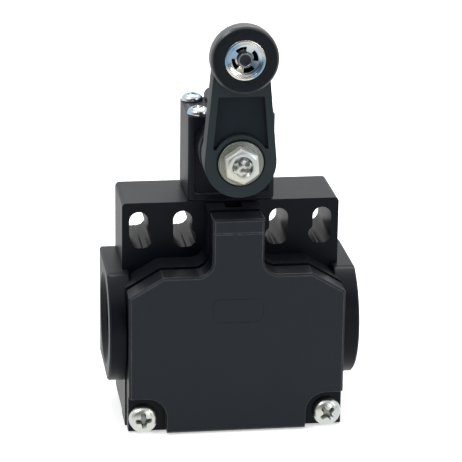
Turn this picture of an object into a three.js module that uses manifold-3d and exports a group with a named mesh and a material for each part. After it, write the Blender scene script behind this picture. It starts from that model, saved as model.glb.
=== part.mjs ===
// A wide limit switch: moulded housing with two side cable entries, a T-shaped cover, a screwed-on
// actuator head and a roller lever. Millimetres. X runs to the viewer's right, the front faces -Y
// and Z is up. The origin lies on the rear mounting face, midway between the fixing holes.

import * as THREE from 'three';
import { mergeVertices } from 'three/addons/utils/BufferGeometryUtils.js';
import Module from 'manifold-3d';

const wasm = await Module();
wasm.setup();

// Fixing holes: upright slots whose lower end opens into a second hole nearer the middle
const HOLE_PITCH_OUTER = 42;
const HOLE_PITCH_INNER = 22;
const HOLE_LOW_SHIFT = 1;
const HOLE_DROP = 4.3;
const HOLE_D = 4.3;

// Housing
const BODY_W = 49.6;
const BODY_H = 51.2;
const BLOCK_D = 17;
const COLLAR_D = 6.6;
const BLOCK_TOP = 4.3;
const BLOCK_CORNER_R = 1;
const WALL = 3;
const BACK_WALL = 3;
const SHOULDER_DROP = 13.2;
const KNEE_DROP = 17.9;
const SHOULDER_W = 33.8;
const NECK_W = 12.2;
const NECK_FILLET = 3.2;
const NOTCH_W = 3.8;
const NOTCH_DEPTH = 3.2;
const NOTCH_L = 3.7;
const NECK_ROOF = 2;
const NECK_SLOT_L = 1.4;
const NECK_SLOT_DEPTH = 2.5;
const CORNER_SIZE = 6.2;
const CORNER_R = 1.5;
const EAR_R = 1;

// Cable entries
const ENTRY_D = 18.4;
const ENTRY_MOUTH_D = 21.4;
const ENTRY_MOUTH_DEPTH = 1.3;
const ENTRY_DROP = 28.7;
const ENTRY_Y = -13;
const BOSS_H = 26;
const BOSS_ROUND = 1.4;
const BOSS_OUT = 3.7;
const BOSS_EDGE = 0.4;

// Cover and its screws
const COVER_D = 6.4;
const COVER_STEP = 0.3;
const COVER_WALL = 1.8;
const COVER_EDGE = 0.5;
const POCKET_W = 8.6;
const POCKET_H = 8.6;
const POCKET_R = 4.6;
const POCKET_DEPTH = 2.4;
const POCKET_BACKING = 1.8;
const COVER_SCREW_INSET = 3.7;
const COVER_SCREW_RISE = 3.5;
const COVER_SCREW_HEAD_D = 6.6;
const COVER_SCREW_HEAD_H = 2.3;
const COVER_SCREW_D = 3.4;
const COVER_SCREW_L = 14;
const COVER_SCREW_TURN = 45;
const NECK_GROOVE_DROP = 3.1;
const NECK_GROOVE_W = 0.4;
const NECK_GROOVE_DEPTH = 0.3;

// Seals
const SEAL_W = 1;
const SEAL_T = 1.1;
const SEAL_INSET = 1;
const SEAL_PROUD = 0.3;

// Actuator head
const HEAD_W = 19.7;
const HEAD_D = 17;
const HEAD_H = 19.4;
const HEAD_CORNER_R = 1.2;
const HEAD_EDGE = 0.4;
const HEAD_WALL = 2.5;
const HEAD_BACK_WALL = 3.2;
const HEAD_CAVITY_W = 9.9;
const HEAD_CAVITY_ROOF = 1;
const HEAD_LIFT = 0.4;
const RIDGE_W = 8.7;
const RIDGE_RISE = 2.9;
const RIDGE_CORNER_R = 1.8;
const RIDGE_CORNER_SWEEP = 70;
const NOSE_D = 16;
const NOSE_L = 5.2;
const NOSE_CHAMFER = 0.5;
const NOSE_LIP = 0.85;
const AXIS_RISE = 13;
const PLUNGER_Y = -9.5;
const HEAD_SCREW_PITCH_X = 14.6;
const HEAD_SCREW_PITCH_Y = 11.8;
const HEAD_SCREW_HEAD_D = 5.3;
const HEAD_SCREW_HEAD_H = 2.1;
const HEAD_SCREW_D = 2.6;
const HEAD_SCREW_BITE = 5.6;
const HEAD_SCREW_TURN = 25;
const FACE_RECESS = 0.6;
const FACE_RIM = 1.3;
const FACE_BROW = 2.4;
const GASKET_INSET = 0.4;

// Shaft, bush and seal
const SHAFT_D = 8;
const SHAFT_FLAT = 3.2;
const JOURNAL_D = 6;
const JOURNAL_L = 2.6;
const CAM_BACK_INSET = 1.4;
const CAM_R = 4.6;
const CAM_FLAT = 4;
const BUSH_D = 9.6;
const BUSH_L = 4.6;
const BUSH_BORE = 8.3;
const RING_L = 1.5;
const RING_GRIP = 0.1;

// Lever and its fastening
const LEVER_REACH = 24.2;
const LEVER_BOSS_D = 16;
const LEVER_BOSS_L = 8.5;
const LEVER_TIP_D = 11.6;
const LEVER_ARM_T = 5;
const LEVER_EDGE = 0.4;
const LEVER_REAR_D = 15.4;
const WEB_RIM = 1.6;
const WEB_RING_D = 12.4;
const WEB_HEAD = 14.9;
const WEB_FOOT = 3;
const WEB_DEPTH = 1.2;
const BACK_POCKET_DEPTH = 2;
const LEVER_FACE_T = 2.4;
const WASHER_SEAT_D = 10.8;
const WASHER_SEAT_DEPTH = 0.5;
const WASHER_D = 10;
const WASHER_T = 1;
const BOLT_D = 5;
const BOLT_L = 11;
const HEX_AF = 8;
const HEX_H = 3.4;
const HEX_CHAMFER = 0.7;
const HEX_FACE_D = 6.8;
const HEX_TURN = 10;
const HEX_DIMPLE_D = 4.8;
const HEX_DIMPLE_DEPTH = 0.8;

// Roller
const ROLLER_D = 15;
const ROLLER_W = 4.4;
const ROLLER_CHAMFER = 0.8;
const HUB_D = 9.4;
const HUB_BORE = 3.1;
const HUB_CORE_D = 4;
const HUB_LIP = 0.25;
const HUB_RIM = 0.8;
const HUB_RIM_DEPTH = 0.7;
const HUB_SKIN = 0.6;
const WINDOW_IN = 2.15;
const WINDOW_OUT = 3.3;
const WINDOW_SPAN = 54;
const WINDOW_COUNT = 4;
const WINDOW_TURN = 20;
const PIN_D = 2.8;
const PIN_HEAD_D = 3.8;
const PIN_HEAD_T = 0.55;
const PIN_DIMPLE_D = 2.7;
const PIN_DIMPLE_DEPTH = 0.3;
const PIN_TAIL_D = 5;
const PIN_TAIL_T = 0.8;

// Plunger train
const PLUNGER_HEAD_D = 8.4;
const PLUNGER_HEAD_T = 1.8;
const STEM_D = 3.4;
const GUIDE_D = 6;
const GUIDE_FLANGE_D = 9.4;
const GUIDE_FLANGE_T = 1.2;
const GUIDE_L = 6;
const TRAVEL = 2.4;
const RETURN_WIRE = 0.6;
const RETURN_D = 5.6;
const RETURN_TURNS = 3.4;

// Contact block
const CARRIER_W = 19;
const CARRIER_TOP_DROP = 19;
const CARRIER_H = 25;
const CARRIER_D = 15.4;
const CARRIER_WALL = 2;
const CARRIER_FLOOR = 2;
const CARRIER_BACK = 2.2;
const SHELF_W = 6.8;
const SHELF_H = 7;
const NC_DROP = 7;
const NO_DROP = 16.5;
const STRIP_T = 0.8;
const STRIP_W = 4;
const STRIP_REACH = 4.4;
const TAB_W = 5.2;
const TAB_L = 5.8;
const TIP_INSET = 0.3;
const TIP_D = 2.4;
const TIP_T = 0.6;
const BRIDGE_L = 12.4;
const BRIDGE_W = 3.4;
const BRIDGE_T = 0.8;
const ROD_W = 3.2;
const SLIDE_D = 6.4;
const SLIDE_FOOT = 2.8;
const PEG_D = 2.6;
const PEG_L = 1.8;
const RIB_T = 1;
const RIB_H = 1.7;
const LUG_W = 5;
const LUG_H = 5.2;
const LUG_T = 2.6;
const CARRIER_SCREW_D = 2.4;
const CARRIER_SCREW_HEAD_D = 4.4;
const CARRIER_SCREW_HEAD_H = 1.6;
const CARRIER_SCREW_L = 4.4;
const TERMINAL_SCREW_D = 3;
const TERMINAL_SCREW_HEAD_D = 5.8;
const TERMINAL_SCREW_HEAD_H = 2.2;
const TERMINAL_SCREW_L = 6;
const TERMINAL_SCREW_TURN = 30;
const CLAMP_SIZE = 6.2;
const CLAMP_T = 1;
const CONTACT_WIRE = 0.5;
const CONTACT_D = 4.4;
const CONTACT_TURNS = 5;

// Fits
const GAP = 0.3;
const RUN = 0.15;

// Facets round a circle, by size
const FINE = 36;
const MEDIUM = 24;
const COARSE = 16;
const SMALL = 12;

// Places worked out from the sizes above
const BOTTOM_Z = BLOCK_TOP - BODY_H;
const COLLAR_Y = -BLOCK_D - COLLAR_D;
const COVER_BACK_Y = COLLAR_Y - SEAL_PROUD;
const FRONT_Y = COVER_BACK_Y - COVER_D;
const SHOULDER_Z = BLOCK_TOP - SHOULDER_DROP;
const KNEE_Z = BLOCK_TOP - KNEE_DROP;
const ENTRY_Z = BLOCK_TOP - ENTRY_DROP;
const BOSS_R = BOSS_H / 2 + BOSS_ROUND;
const CHAMBER_TOP_Z = SHOULDER_Z - WALL;
const HEAD_BOTTOM_Z = BLOCK_TOP + HEAD_LIFT;
const HEAD_TOP_Z = HEAD_BOTTOM_Z + HEAD_H;
const AXIS_Z = BLOCK_TOP + AXIS_RISE;
const NOSE_Y = -HEAD_D - NOSE_L;
const LEVER_BACK_Y = NOSE_Y - GAP;
const LEVER_FRONT_Y = LEVER_BACK_Y - LEVER_BOSS_L;
const ARM_BACK_Y = LEVER_FRONT_Y + LEVER_ARM_T;
const WASHER_SEAT_Y = LEVER_FRONT_Y + WASHER_SEAT_DEPTH;
const WASHER_FRONT_Y = WASHER_SEAT_Y - WASHER_T;
const SHAFT_END_Y = WASHER_SEAT_Y + LEVER_FACE_T;
const ROLLER_BACK_Y = LEVER_FRONT_Y - GAP;
const ROLLER_FRONT_Y = ROLLER_BACK_Y - ROLLER_W;
const HUB_SKIN_Y = ROLLER_FRONT_Y + HUB_RIM_DEPTH;
const SCREW_Z = BOTTOM_Z + COVER_SCREW_RISE;
const POCKET_Y = FRONT_Y + POCKET_DEPTH;
const HEAD_CAVITY_FRONT_Y = -HEAD_D + HEAD_WALL;
const CAM_BACK_Y = -HEAD_BACK_WALL - CAM_BACK_INSET;
const CAM_FRONT_Y = HEAD_CAVITY_FRONT_Y + RUN;
const BUSH_BACK_Y = CAM_FRONT_Y - GAP;
const BUSH_FRONT_Y = BUSH_BACK_Y - BUSH_L;
const RING_BACK_Y = BUSH_FRONT_Y - GAP;
const PLUNGER_TOP_Z = AXIS_Z - CAM_R - GAP;
const CARRIER_TOP_Z = BLOCK_TOP - CARRIER_TOP_DROP;
const CARRIER_BOTTOM_Z = CARRIER_TOP_Z - CARRIER_H;
const CARRIER_BACK_Y = -BACK_WALL - GAP;
const CARRIER_FRONT_Y = CARRIER_BACK_Y - CARRIER_D;
const SHELF_FRONT_Y = PLUNGER_Y - STRIP_W / 2;
const TAB_FRONT_Y = SHELF_FRONT_Y - STRIP_T;
const TERMINAL_SEAT_Y = TAB_FRONT_Y - CLAMP_T;
const TERMINAL_X = CARRIER_W / 2 + SHELF_W / 2;
const NC_Z = CARRIER_TOP_Z - NC_DROP;
const NO_Z = CARRIER_TOP_Z - NO_DROP;
const STEM_BOTTOM_Z = CARRIER_TOP_Z + GAP + TRAVEL;
const BRIDGE_NC_Z = NC_Z - 2 * TIP_T - RUN - BRIDGE_T;
const BRIDGE_NO_Z = NO_Z + STRIP_T + 2 * TIP_T + RUN + TRAVEL;
const TIP_X = CARRIER_W / 2 - CARRIER_WALL - STRIP_REACH + TIP_INSET + TIP_D / 2;
const SLIDE_TOP_Z = CARRIER_TOP_Z - CARRIER_FLOOR - GAP;
const SLIDE_BOTTOM_Z = BRIDGE_NO_Z - SLIDE_FOOT;
const TERMINAL_SCREW_DROP = CLAMP_SIZE / 2;
const CARRIER_SCREW_SEAT_Y = CARRIER_BACK_Y - LUG_T;
const LUG_SCREW_Z = CARRIER_TOP_Z - LUG_H / 2;

// Materials
const paint = (color, roughness, metalness) => () =>
  new THREE.MeshStandardMaterial({ color, roughness, metalness });
const housingPlastic = paint(0x25282b, 0.55, 0);
const leverPlastic = paint(0x202326, 0.5, 0);
const tyrePlastic = paint(0x1b1d1f, 0.6, 0);
const zinc = paint(0xc9ccc8, 0.3, 1);
const steel = paint(0x8f9396, 0.35, 1);
const darkSteel = paint(0x3b3f43, 0.45, 1);
const bronze = paint(0x9a7a45, 0.4, 1);
const silver = paint(0xd4cfc4, 0.25, 1);
const rubber = paint(0x151515, 0.85, 0);
const carrierPlastic = paint(0x8a8f8c, 0.6, 0);
const whitePlastic = paint(0xd9d6cc, 0.5, 0);

// Solid helpers

// Position-only copy with shared corners and no zero-area triangles, faces pointing out
function closedMesh(geometry) {
  const bare = geometry.clone();
  bare.deleteAttribute('normal');
  bare.deleteAttribute('uv');
  const merged = mergeVertices(bare, 1e-4);
  const position = merged.getAttribute('position');
  const kept = [];
  const [a, b, c] = [new THREE.Vector3(), new THREE.Vector3(), new THREE.Vector3()];
  let volume = 0;
  for (let i = 0; i < merged.index.count; i += 3) {
    const corner = [0, 1, 2].map((k) => merged.index.getX(i + k));
    if (new Set(corner).size < 3) continue;
    kept.push(...corner);
    [a, b, c].forEach((v, k) => v.fromBufferAttribute(position, corner[k]));
    volume += a.dot(b.cross(c));
  }
  if (volume < 0) kept.reverse();
  merged.setIndex(kept);
  return merged;
}

function toSolid(geometry) {
  const mesh = closedMesh(geometry);
  return new wasm.Manifold(new wasm.Mesh({
    numProp: 3,
    vertProperties: new Float32Array(mesh.getAttribute('position').array),
    triVerts: new Uint32Array(mesh.index.array),
  }));
}

function fromSolid(solid) {
  const { vertProperties, triVerts, numProp } = solid.getMesh();
  const geometry = new THREE.BufferGeometry();
  const count = vertProperties.length / numProp;
  const position = new Float32Array(count * 3);
  for (let i = 0; i < count; i += 1) {
    for (let k = 0; k < 3; k += 1) position[3 * i + k] = vertProperties[numProp * i + k];
  }
  geometry.setAttribute('position', new THREE.BufferAttribute(position, 3));
  geometry.setIndex(Array.from(triVerts));
  return geometry;
}

const joined = (...geometries) =>
  fromSolid(geometries.map(toSolid).reduce((sum, next) => sum.add(next)));

const cut = (base, ...tools) =>
  fromSolid(tools.map(toSolid).reduce((rest, tool) => rest.subtract(tool), toSolid(base)));

const common = (first, second) => fromSolid(toSolid(first).intersect(toSolid(second)));

// Form helpers

function extruded(shape, depth, curveSegments, bevel = 0) {
  return new THREE.ExtrudeGeometry(shape, {
    depth: depth - 2 * bevel,
    curveSegments,
    bevelEnabled: bevel > 0,
    bevelThickness: bevel,
    bevelSize: bevel,
    bevelOffset: -bevel,
    bevelSegments: 1,
  }).translate(0, 0, bevel);
}

// A shape drawn in X and Z, from the back plane forward to the front plane
const slabY = (shape, backY, frontY, curveSegments = 8, bevel = 0) =>
  extruded(shape, backY - frontY, curveSegments, bevel).rotateX(Math.PI / 2).translate(0, backY, 0);

// A shape drawn in Y and Z, from x0 to x1
const slabX = (shape, x0, x1, curveSegments = 8, bevel = 0) =>
  extruded(shape, x1 - x0, curveSegments, bevel)
    .applyMatrix4(new THREE.Matrix4().makeBasis(
      new THREE.Vector3(0, 1, 0),
      new THREE.Vector3(0, 0, 1),
      new THREE.Vector3(1, 0, 0),
    ))
    .translate(x0, 0, 0);

// A shape drawn in X and Y, from z0 to z1
const slabZ = (shape, z0, z1, curveSegments = 8, bevel = 0) =>
  extruded(shape, z1 - z0, curveSegments, bevel).translate(0, 0, z0);

// Turned pieces: pairs of radius and place along the axis
const turned = (pairs, segments) =>
  new THREE.LatheGeometry(pairs.map(([r, h]) => new THREE.Vector2(r, h)), segments);

const turnedY = (pairs, x, z, segments = MEDIUM) => turned(pairs, segments).translate(x, 0, z);

const turnedZ = (pairs, x, y, segments = MEDIUM) =>
  turned(pairs, segments).rotateX(Math.PI / 2).translate(x, y, 0);

const turnedX = (pairs, y, z, segments = MEDIUM) =>
  turned(pairs, segments).rotateZ(-Math.PI / 2).translate(0, y, z);

const rod = (r, from, to) => [[0, from], [r, from], [r, to], [0, to]];

const tubeProfile = (inner, outer, from, to) =>
  [[inner, from], [outer, from], [outer, to], [inner, to], [inner, from]];

const box = (x0, x1, y0, y1, z0, z1) =>
  new THREE.BoxGeometry(Math.abs(x1 - x0), Math.abs(y1 - y0), Math.abs(z1 - z0))
    .translate((x0 + x1) / 2, (y0 + y1) / 2, (z0 + z1) / 2);

function roundedRect(x0, x1, z0, z1, r) {
  const shape = new THREE.Shape();
  shape.moveTo(x0 + r, z0);
  shape.lineTo(x1 - r, z0);
  shape.absarc(x1 - r, z0 + r, r, -Math.PI / 2, 0, false);
  shape.lineTo(x1, z1 - r);
  shape.absarc(x1 - r, z1 - r, r, 0, Math.PI / 2, false);
  shape.lineTo(x0 + r, z1);
  shape.absarc(x0 + r, z1 - r, r, Math.PI / 2, Math.PI, false);
  shape.lineTo(x0, z0 + r);
  shape.absarc(x0 + r, z0 + r, r, Math.PI, 1.5 * Math.PI, false);
  return shape;
}

// An upright slot with round ends
function slotShape(x, top, bottom, r) {
  const shape = new THREE.Shape();
  shape.absarc(x, top, r, 0, Math.PI, false);
  shape.absarc(x, bottom, r, Math.PI, 2 * Math.PI, false);
  shape.closePath();
  return shape;
}

// One unbroken coil round Z: wire rings carried along a helix, with straight upright ends
function coilZ(z0, z1, outerD, wire, turns) {
  const STEPS = 8;
  const SIDES = 5;
  const r = (outerD - wire) / 2;
  const steps = Math.round(turns * STEPS);
  const low = z0 + wire;
  const high = z1 - wire;
  const path = [];
  for (let i = 0; i <= steps; i += 1) {
    const a = (2 * Math.PI * i) / STEPS;
    path.push(new THREE.Vector3(r * Math.cos(a), r * Math.sin(a), low + ((high - low) * i) / steps));
  }
  const along = [path[0].clone(), ...path, path[steps].clone()];
  along[0].z = low - wire;
  along[along.length - 1].z = high + wire;
  const positions = [];
  along.forEach((p, i) => {
    const before = along[Math.max(i - 1, 0)];
    const after = along[Math.min(i + 1, along.length - 1)];
    const tangent = after.clone().sub(before).normalize();
    if (i === 0 || i === along.length - 1) tangent.set(0, 0, 1);
    const outward = new THREE.Vector3(p.x, p.y, 0).normalize();
    const side = tangent.clone().cross(outward).normalize();
    const flat = side.clone().cross(tangent).normalize();
    for (let k = 0; k < SIDES; k += 1) {
      const a = (2 * Math.PI * k) / SIDES;
      const ring = flat.clone().multiplyScalar(Math.cos(a)).addScaledVector(side, Math.sin(a));
      positions.push(...p.clone().addScaledVector(ring, wire / 2).toArray());
    }
  });
  const index = [];
  for (let i = 0; i < along.length - 1; i += 1) {
    for (let k = 0; k < SIDES; k += 1) {
      const [a, b] = [i * SIDES + k, i * SIDES + ((k + 1) % SIDES)];
      index.push(a, b, a + SIDES, b, b + SIDES, a + SIDES);
    }
  }
  const last = (along.length - 1) * SIDES;
  for (let k = 1; k < SIDES - 1; k += 1) {
    index.push(0, k + 1, k);
    index.push(last, last + k, last + k + 1);
  }
  const geometry = new THREE.BufferGeometry();
  geometry.setAttribute('position', new THREE.Float32BufferAttribute(positions, 3));
  geometry.setIndex(index);
  return { geometry, gap: coilGap(path, wire, STEPS) };
}

// Least distance between the wire's surface on neighbouring curls, measured on points
function coilGap(path, wire, stepsPerTurn) {
  const between = 4;
  const fine = [];
  for (let i = 0; i < path.length - 1; i += 1) {
    for (let k = 0; k < between; k += 1) fine.push(path[i].clone().lerp(path[i + 1], k / between));
  }
  let least = Infinity;
  for (let i = 0; i < fine.length; i += 1) {
    for (let j = i + (stepsPerTurn * between) / 2; j < fine.length; j += 1) {
      least = Math.min(least, fine[i].distanceTo(fine[j]));
    }
  }
  return least - wire;
}

// Mesh placing

const root = new THREE.Group();

function group(x, y, z, parent = root) {
  const inner = new THREE.Group();
  inner.position.set(x, y, z);
  parent.add(inner);
  return inner;
}

function add(name, geometry, material, parent = root, [x, y, z] = [0, 0, 0]) {
  const mesh = new THREE.Mesh(closedMesh(geometry), material());
  mesh.name = name;
  mesh.position.set(x, y, z);
  parent.add(mesh);
}

const SIDES_LR = [['left', -1], ['right', 1]];

// The T outline that housing, seal and cover share, drawn in X and Z and set in by inset all round.
// cornerSize leaves out a square at each lower corner for the cover screws.
function tOutline(inset, cornerSize = 0, withNeck = true) {
  const half = BODY_W / 2 - inset;
  const slope = Math.atan2(SHOULDER_Z - KNEE_Z, (BODY_W - SHOULDER_W) / 2);
  const kneeZ = KNEE_Z - inset * Math.tan((Math.PI / 2 - slope) / 2);
  const shoulderX = SHOULDER_W / 2 - inset * Math.tan(slope / 2);
  const shoulderZ = SHOULDER_Z - inset;
  const neck = NECK_W / 2 - inset;
  const fillet = NECK_FILLET + inset;
  const top = BLOCK_TOP - inset;
  const bottom = BOTTOM_Z + inset;
  const r = CORNER_R + inset;
  const notchX = half - cornerSize;
  const notchZ = bottom + cornerSize;
  const shape = new THREE.Shape();
  shape.moveTo(-notchX, bottom);
  shape.lineTo(notchX, bottom);
  if (cornerSize > 0) {
    shape.lineTo(notchX, notchZ - r);
    shape.absarc(notchX + r, notchZ - r, r, Math.PI, Math.PI / 2, true);
    shape.lineTo(half, notchZ);
  }
  shape.lineTo(half, kneeZ);
  shape.lineTo(shoulderX, shoulderZ);
  if (withNeck) {
    shape.lineTo(neck + fillet, shoulderZ);
    shape.absarc(neck + fillet, shoulderZ + fillet, fillet, -Math.PI / 2, -Math.PI, true);
    shape.lineTo(neck, top);
    shape.lineTo(-neck, top);
    shape.lineTo(-neck, shoulderZ + fillet);
    shape.absarc(-neck - fillet, shoulderZ + fillet, fillet, 0, -Math.PI / 2, true);
  }
  shape.lineTo(-shoulderX, shoulderZ);
  shape.lineTo(-half, kneeZ);
  if (cornerSize > 0) {
    shape.lineTo(-half, notchZ);
    shape.lineTo(-notchX - r, notchZ);
    shape.absarc(-notchX - r, notchZ - r, r, Math.PI / 2, 0, true);
  }
  shape.closePath();
  return shape;
}

function tRing(insetOut, insetIn, cornerSize) {
  const shape = tOutline(insetOut, cornerSize);
  shape.holes.push(tOutline(insetIn, cornerSize));
  return shape;
}

// Housing: mounting block, T-shaped collar and entry bosses, with an open-fronted wiring chamber

function bossOutline() {
  const lean = Math.asin(BOSS_H / 2 / BOSS_R);
  const shape = new THREE.Shape();
  shape.moveTo(0, ENTRY_Z + BOSS_H / 2);
  shape.lineTo(0, ENTRY_Z - BOSS_H / 2);
  shape.lineTo(ENTRY_Y - BOSS_R * Math.cos(lean), ENTRY_Z - BOSS_H / 2);
  shape.absarc(ENTRY_Y, ENTRY_Z, BOSS_R, Math.PI + lean, Math.PI - lean, true);
  shape.closePath();
  return shape;
}

function entryBoss(side) {
  const inner = BODY_W / 2 - WALL / 2;
  const outer = BODY_W / 2 + BOSS_OUT;
  const [x0, x1] = side > 0 ? [inner, outer] : [-outer, -inner];
  return slabX(bossOutline(), x0, x1, 14, BOSS_EDGE);
}

function entryBore(side) {
  const outer = BODY_W / 2 + BOSS_OUT;
  const profile = [
    [0, BODY_W / 2 - 2 * WALL],
    [ENTRY_D / 2, BODY_W / 2 - 2 * WALL],
    [ENTRY_D / 2, outer - ENTRY_MOUTH_DEPTH],
    [ENTRY_MOUTH_D / 2, outer],
    [ENTRY_MOUTH_D / 2, outer + 1],
    [0, outer + 1],
  ].map(([r, h]) => [r, side * h]);
  return turnedX(profile, ENTRY_Y, ENTRY_Z, FINE);
}

function fixingSlots() {
  const tools = [];
  for (const [, side] of SIDES_LR) {
    for (const pitch of [HOLE_PITCH_INNER, HOLE_PITCH_OUTER]) {
      const x = (side * pitch) / 2;
      const lowX = x - side * HOLE_LOW_SHIFT;
      tools.push(slabY(slotShape(x, 0, -HOLE_DROP, HOLE_D / 2), 1, -BLOCK_D - 1, 9));
      tools.push(turnedY(rod(HOLE_D / 2, -BLOCK_D - 1, 1), lowX, -HOLE_DROP, SMALL));
    }
  }
  return tools;
}

const headScrewPlaces = [];
for (const [sideName, side] of SIDES_LR) {
  for (const [endName, end] of [['rear', 1], ['front', -1]]) {
    const x = (side * HEAD_SCREW_PITCH_X) / 2;
    const y = -HEAD_D / 2 + (end * HEAD_SCREW_PITCH_Y) / 2;
    headScrewPlaces.push({ name: `head_screw_${endName}_${sideName}`, x, y });
  }
}

const coverScrewPlaces = SIDES_LR.map(([sideName, side]) => ({
  name: `cover_screw_${sideName}`,
  x: side * (BODY_W / 2 - COVER_SCREW_INSET),
}));

const carrierScrewPlaces = SIDES_LR.map(([sideName, side]) => ({
  name: `carrier_screw_${sideName}`,
  x: side * (CARRIER_W / 2 + LUG_W / 2),
}));

function housing() {
  const block = slabY(
    roundedRect(-BODY_W / 2, BODY_W / 2, BOTTOM_Z, BLOCK_TOP, BLOCK_CORNER_R),
    0, -BLOCK_D, 3,
  );
  const collar = slabY(tOutline(0), -BLOCK_D + 1, COLLAR_Y, 6);
  const coverSpace = box(
    -BODY_W / 2, BODY_W / 2, COLLAR_Y, COLLAR_Y - ENTRY_MOUTH_D,
    ENTRY_Z - BOSS_H, ENTRY_Z + BOSS_H,
  );
  const outside = cut(joined(block, collar, entryBoss(-1), entryBoss(1)), coverSpace);
  const chamber = slabY(tOutline(WALL, CORNER_SIZE, false), -BACK_WALL, COLLAR_Y - 1, 5);
  const channelTop = BLOCK_TOP - NOTCH_DEPTH - NECK_ROOF;
  const channel = box(
    -NECK_W / 2 + WALL, NECK_W / 2 - WALL,
    COLLAR_Y - 1, -BLOCK_D,
    CHAMBER_TOP_Z - 1, channelTop,
  );
  const slotFrontY = -BLOCK_D - NECK_SLOT_L;
  const neckSlot = box(
    -NECK_W, NECK_W, -BLOCK_D, slotFrontY, BLOCK_TOP - NECK_SLOT_DEPTH, BLOCK_TOP + 1,
  );
  const notch = slabY(
    roundedRect(-NOTCH_W / 2, NOTCH_W / 2, BLOCK_TOP - NOTCH_DEPTH, BLOCK_TOP + 2, EAR_R),
    slotFrontY + RUN, slotFrontY - NOTCH_L, 4,
  );
  const groove = slabY(
    tRing(SEAL_INSET - GAP, SEAL_INSET + SEAL_W + GAP, CORNER_SIZE),
    COLLAR_Y + SEAL_T - SEAL_PROUD, COLLAR_Y - 1, 4,
  );
  const plungerBore = turnedZ(
    rod(GUIDE_D / 2 + GAP, CHAMBER_TOP_Z - 1, BLOCK_TOP + 1),
    0, PLUNGER_Y, SMALL,
  );
  const headScrewHoles = headScrewPlaces.map(({ x, y }) => turnedZ(
    rod(HEAD_SCREW_D / 2 + RUN, BLOCK_TOP - HEAD_SCREW_BITE - GAP, BLOCK_TOP + 1),
    x, y, SMALL,
  ));
  const coverScrewHoles = coverScrewPlaces.map(({ x }) => turnedY(
    rod(COVER_SCREW_D / 2 + GAP, COLLAR_Y - 1, POCKET_Y + COVER_SCREW_L + GAP),
    x, SCREW_Z, SMALL,
  ));
  const carrierScrewHoles = carrierScrewPlaces.map(({ x }) => turnedY(
    rod(CARRIER_SCREW_D / 2 + RUN, -BACK_WALL - 1, CARRIER_SCREW_SEAT_Y + CARRIER_SCREW_L + GAP),
    x, LUG_SCREW_Z, SMALL,
  ));
  return cut(
    outside, chamber, channel, neckSlot, notch, groove, plungerBore,
    ...headScrewHoles, ...coverScrewHoles, ...carrierScrewHoles, ...fixingSlots(),
    entryBore(-1), entryBore(1),
  );
}

// Cover: a tray on the same T outline, with a pocket at each lower corner for its screw

function cover() {
  const tray = slabY(tOutline(COVER_STEP), COVER_BACK_Y, FRONT_Y, 6, COVER_EDGE);
  const keep = POCKET_W + POCKET_BACKING - COVER_WALL;
  const hollow = slabY(
    tOutline(COVER_STEP + COVER_WALL, keep), COVER_BACK_Y + 1, FRONT_Y + COVER_WALL, 5,
  );
  const reach = 2 * POCKET_R;
  const pockets = SIDES_LR.map(([, side]) => {
    const inner = BODY_W / 2 - COVER_STEP - POCKET_W;
    const outer = BODY_W / 2 + reach;
    const [x0, x1] = side > 0 ? [inner, outer] : [-outer, -inner];
    const top = BOTTOM_Z + COVER_STEP + POCKET_H;
    return slabY(
      roundedRect(x0, x1, BOTTOM_Z - reach, top, POCKET_R), POCKET_Y, FRONT_Y - 1, 6,
    );
  });
  const screwHoles = coverScrewPlaces.map(({ x }) => turnedY(
    rod(COVER_SCREW_D / 2 + GAP, FRONT_Y - 1, COVER_BACK_Y + 1), x, SCREW_Z, SMALL,
  ));
  const grooveTop = BLOCK_TOP - COVER_STEP - NECK_GROOVE_DROP;
  const neckGroove = box(
    -NECK_W, NECK_W, FRONT_Y - 1, FRONT_Y + NECK_GROOVE_DEPTH, grooveTop - NECK_GROOVE_W, grooveTop,
  );
  return cut(tray, hollow, neckGroove, ...pockets, ...screwHoles);
}

const coverSeal = () => slabY(
  tRing(SEAL_INSET, SEAL_INSET + SEAL_W, CORNER_SIZE),
  COLLAR_Y + SEAL_T - SEAL_PROUD, COVER_BACK_Y, 4,
);

// Screws: a domed pan head with a cross recess, the shank along its own axis from the head's seat

function crossRecess(width, depth, blade) {
  const [w, b] = [width / 2, blade / 2];
  const shape = new THREE.Shape();
  shape.moveTo(b, b);
  [[w, b], [w, -b], [b, -b], [b, -w], [-b, -w], [-b, -b], [-w, -b], [-w, b], [-b, b], [-b, w], [b, w]]
    .forEach(([x, y]) => shape.lineTo(x, y));
  shape.closePath();
  return slabZ(shape, -depth, 1, 1);
}

// Built along +Z with the underside of the head at zero
function panScrew(headD, headH, shankD, shankL, turn, segments = SMALL) {
  const r = headD / 2;
  const body = turned([
    [0, -shankL],
    [shankD / 2 - shankD / 8, -shankL],
    [shankD / 2, -shankL + shankD / 4],
    [shankD / 2, 0],
    [r, 0],
    [r, headH * 0.45],
    [r * 0.86, headH * 0.8],
    [r * 0.6, headH * 0.95],
    [0, headH],
  ], segments).rotateX(Math.PI / 2);
  const recess = crossRecess(headD * 0.56, headH * 0.6, headD * 0.15)
    .rotateZ(THREE.MathUtils.degToRad(turn))
    .translate(0, 0, headH);
  return cut(body, recess);
}

// Actuator head: a block with a ridge along its top and a round nose, hollow from below for the cam

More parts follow.
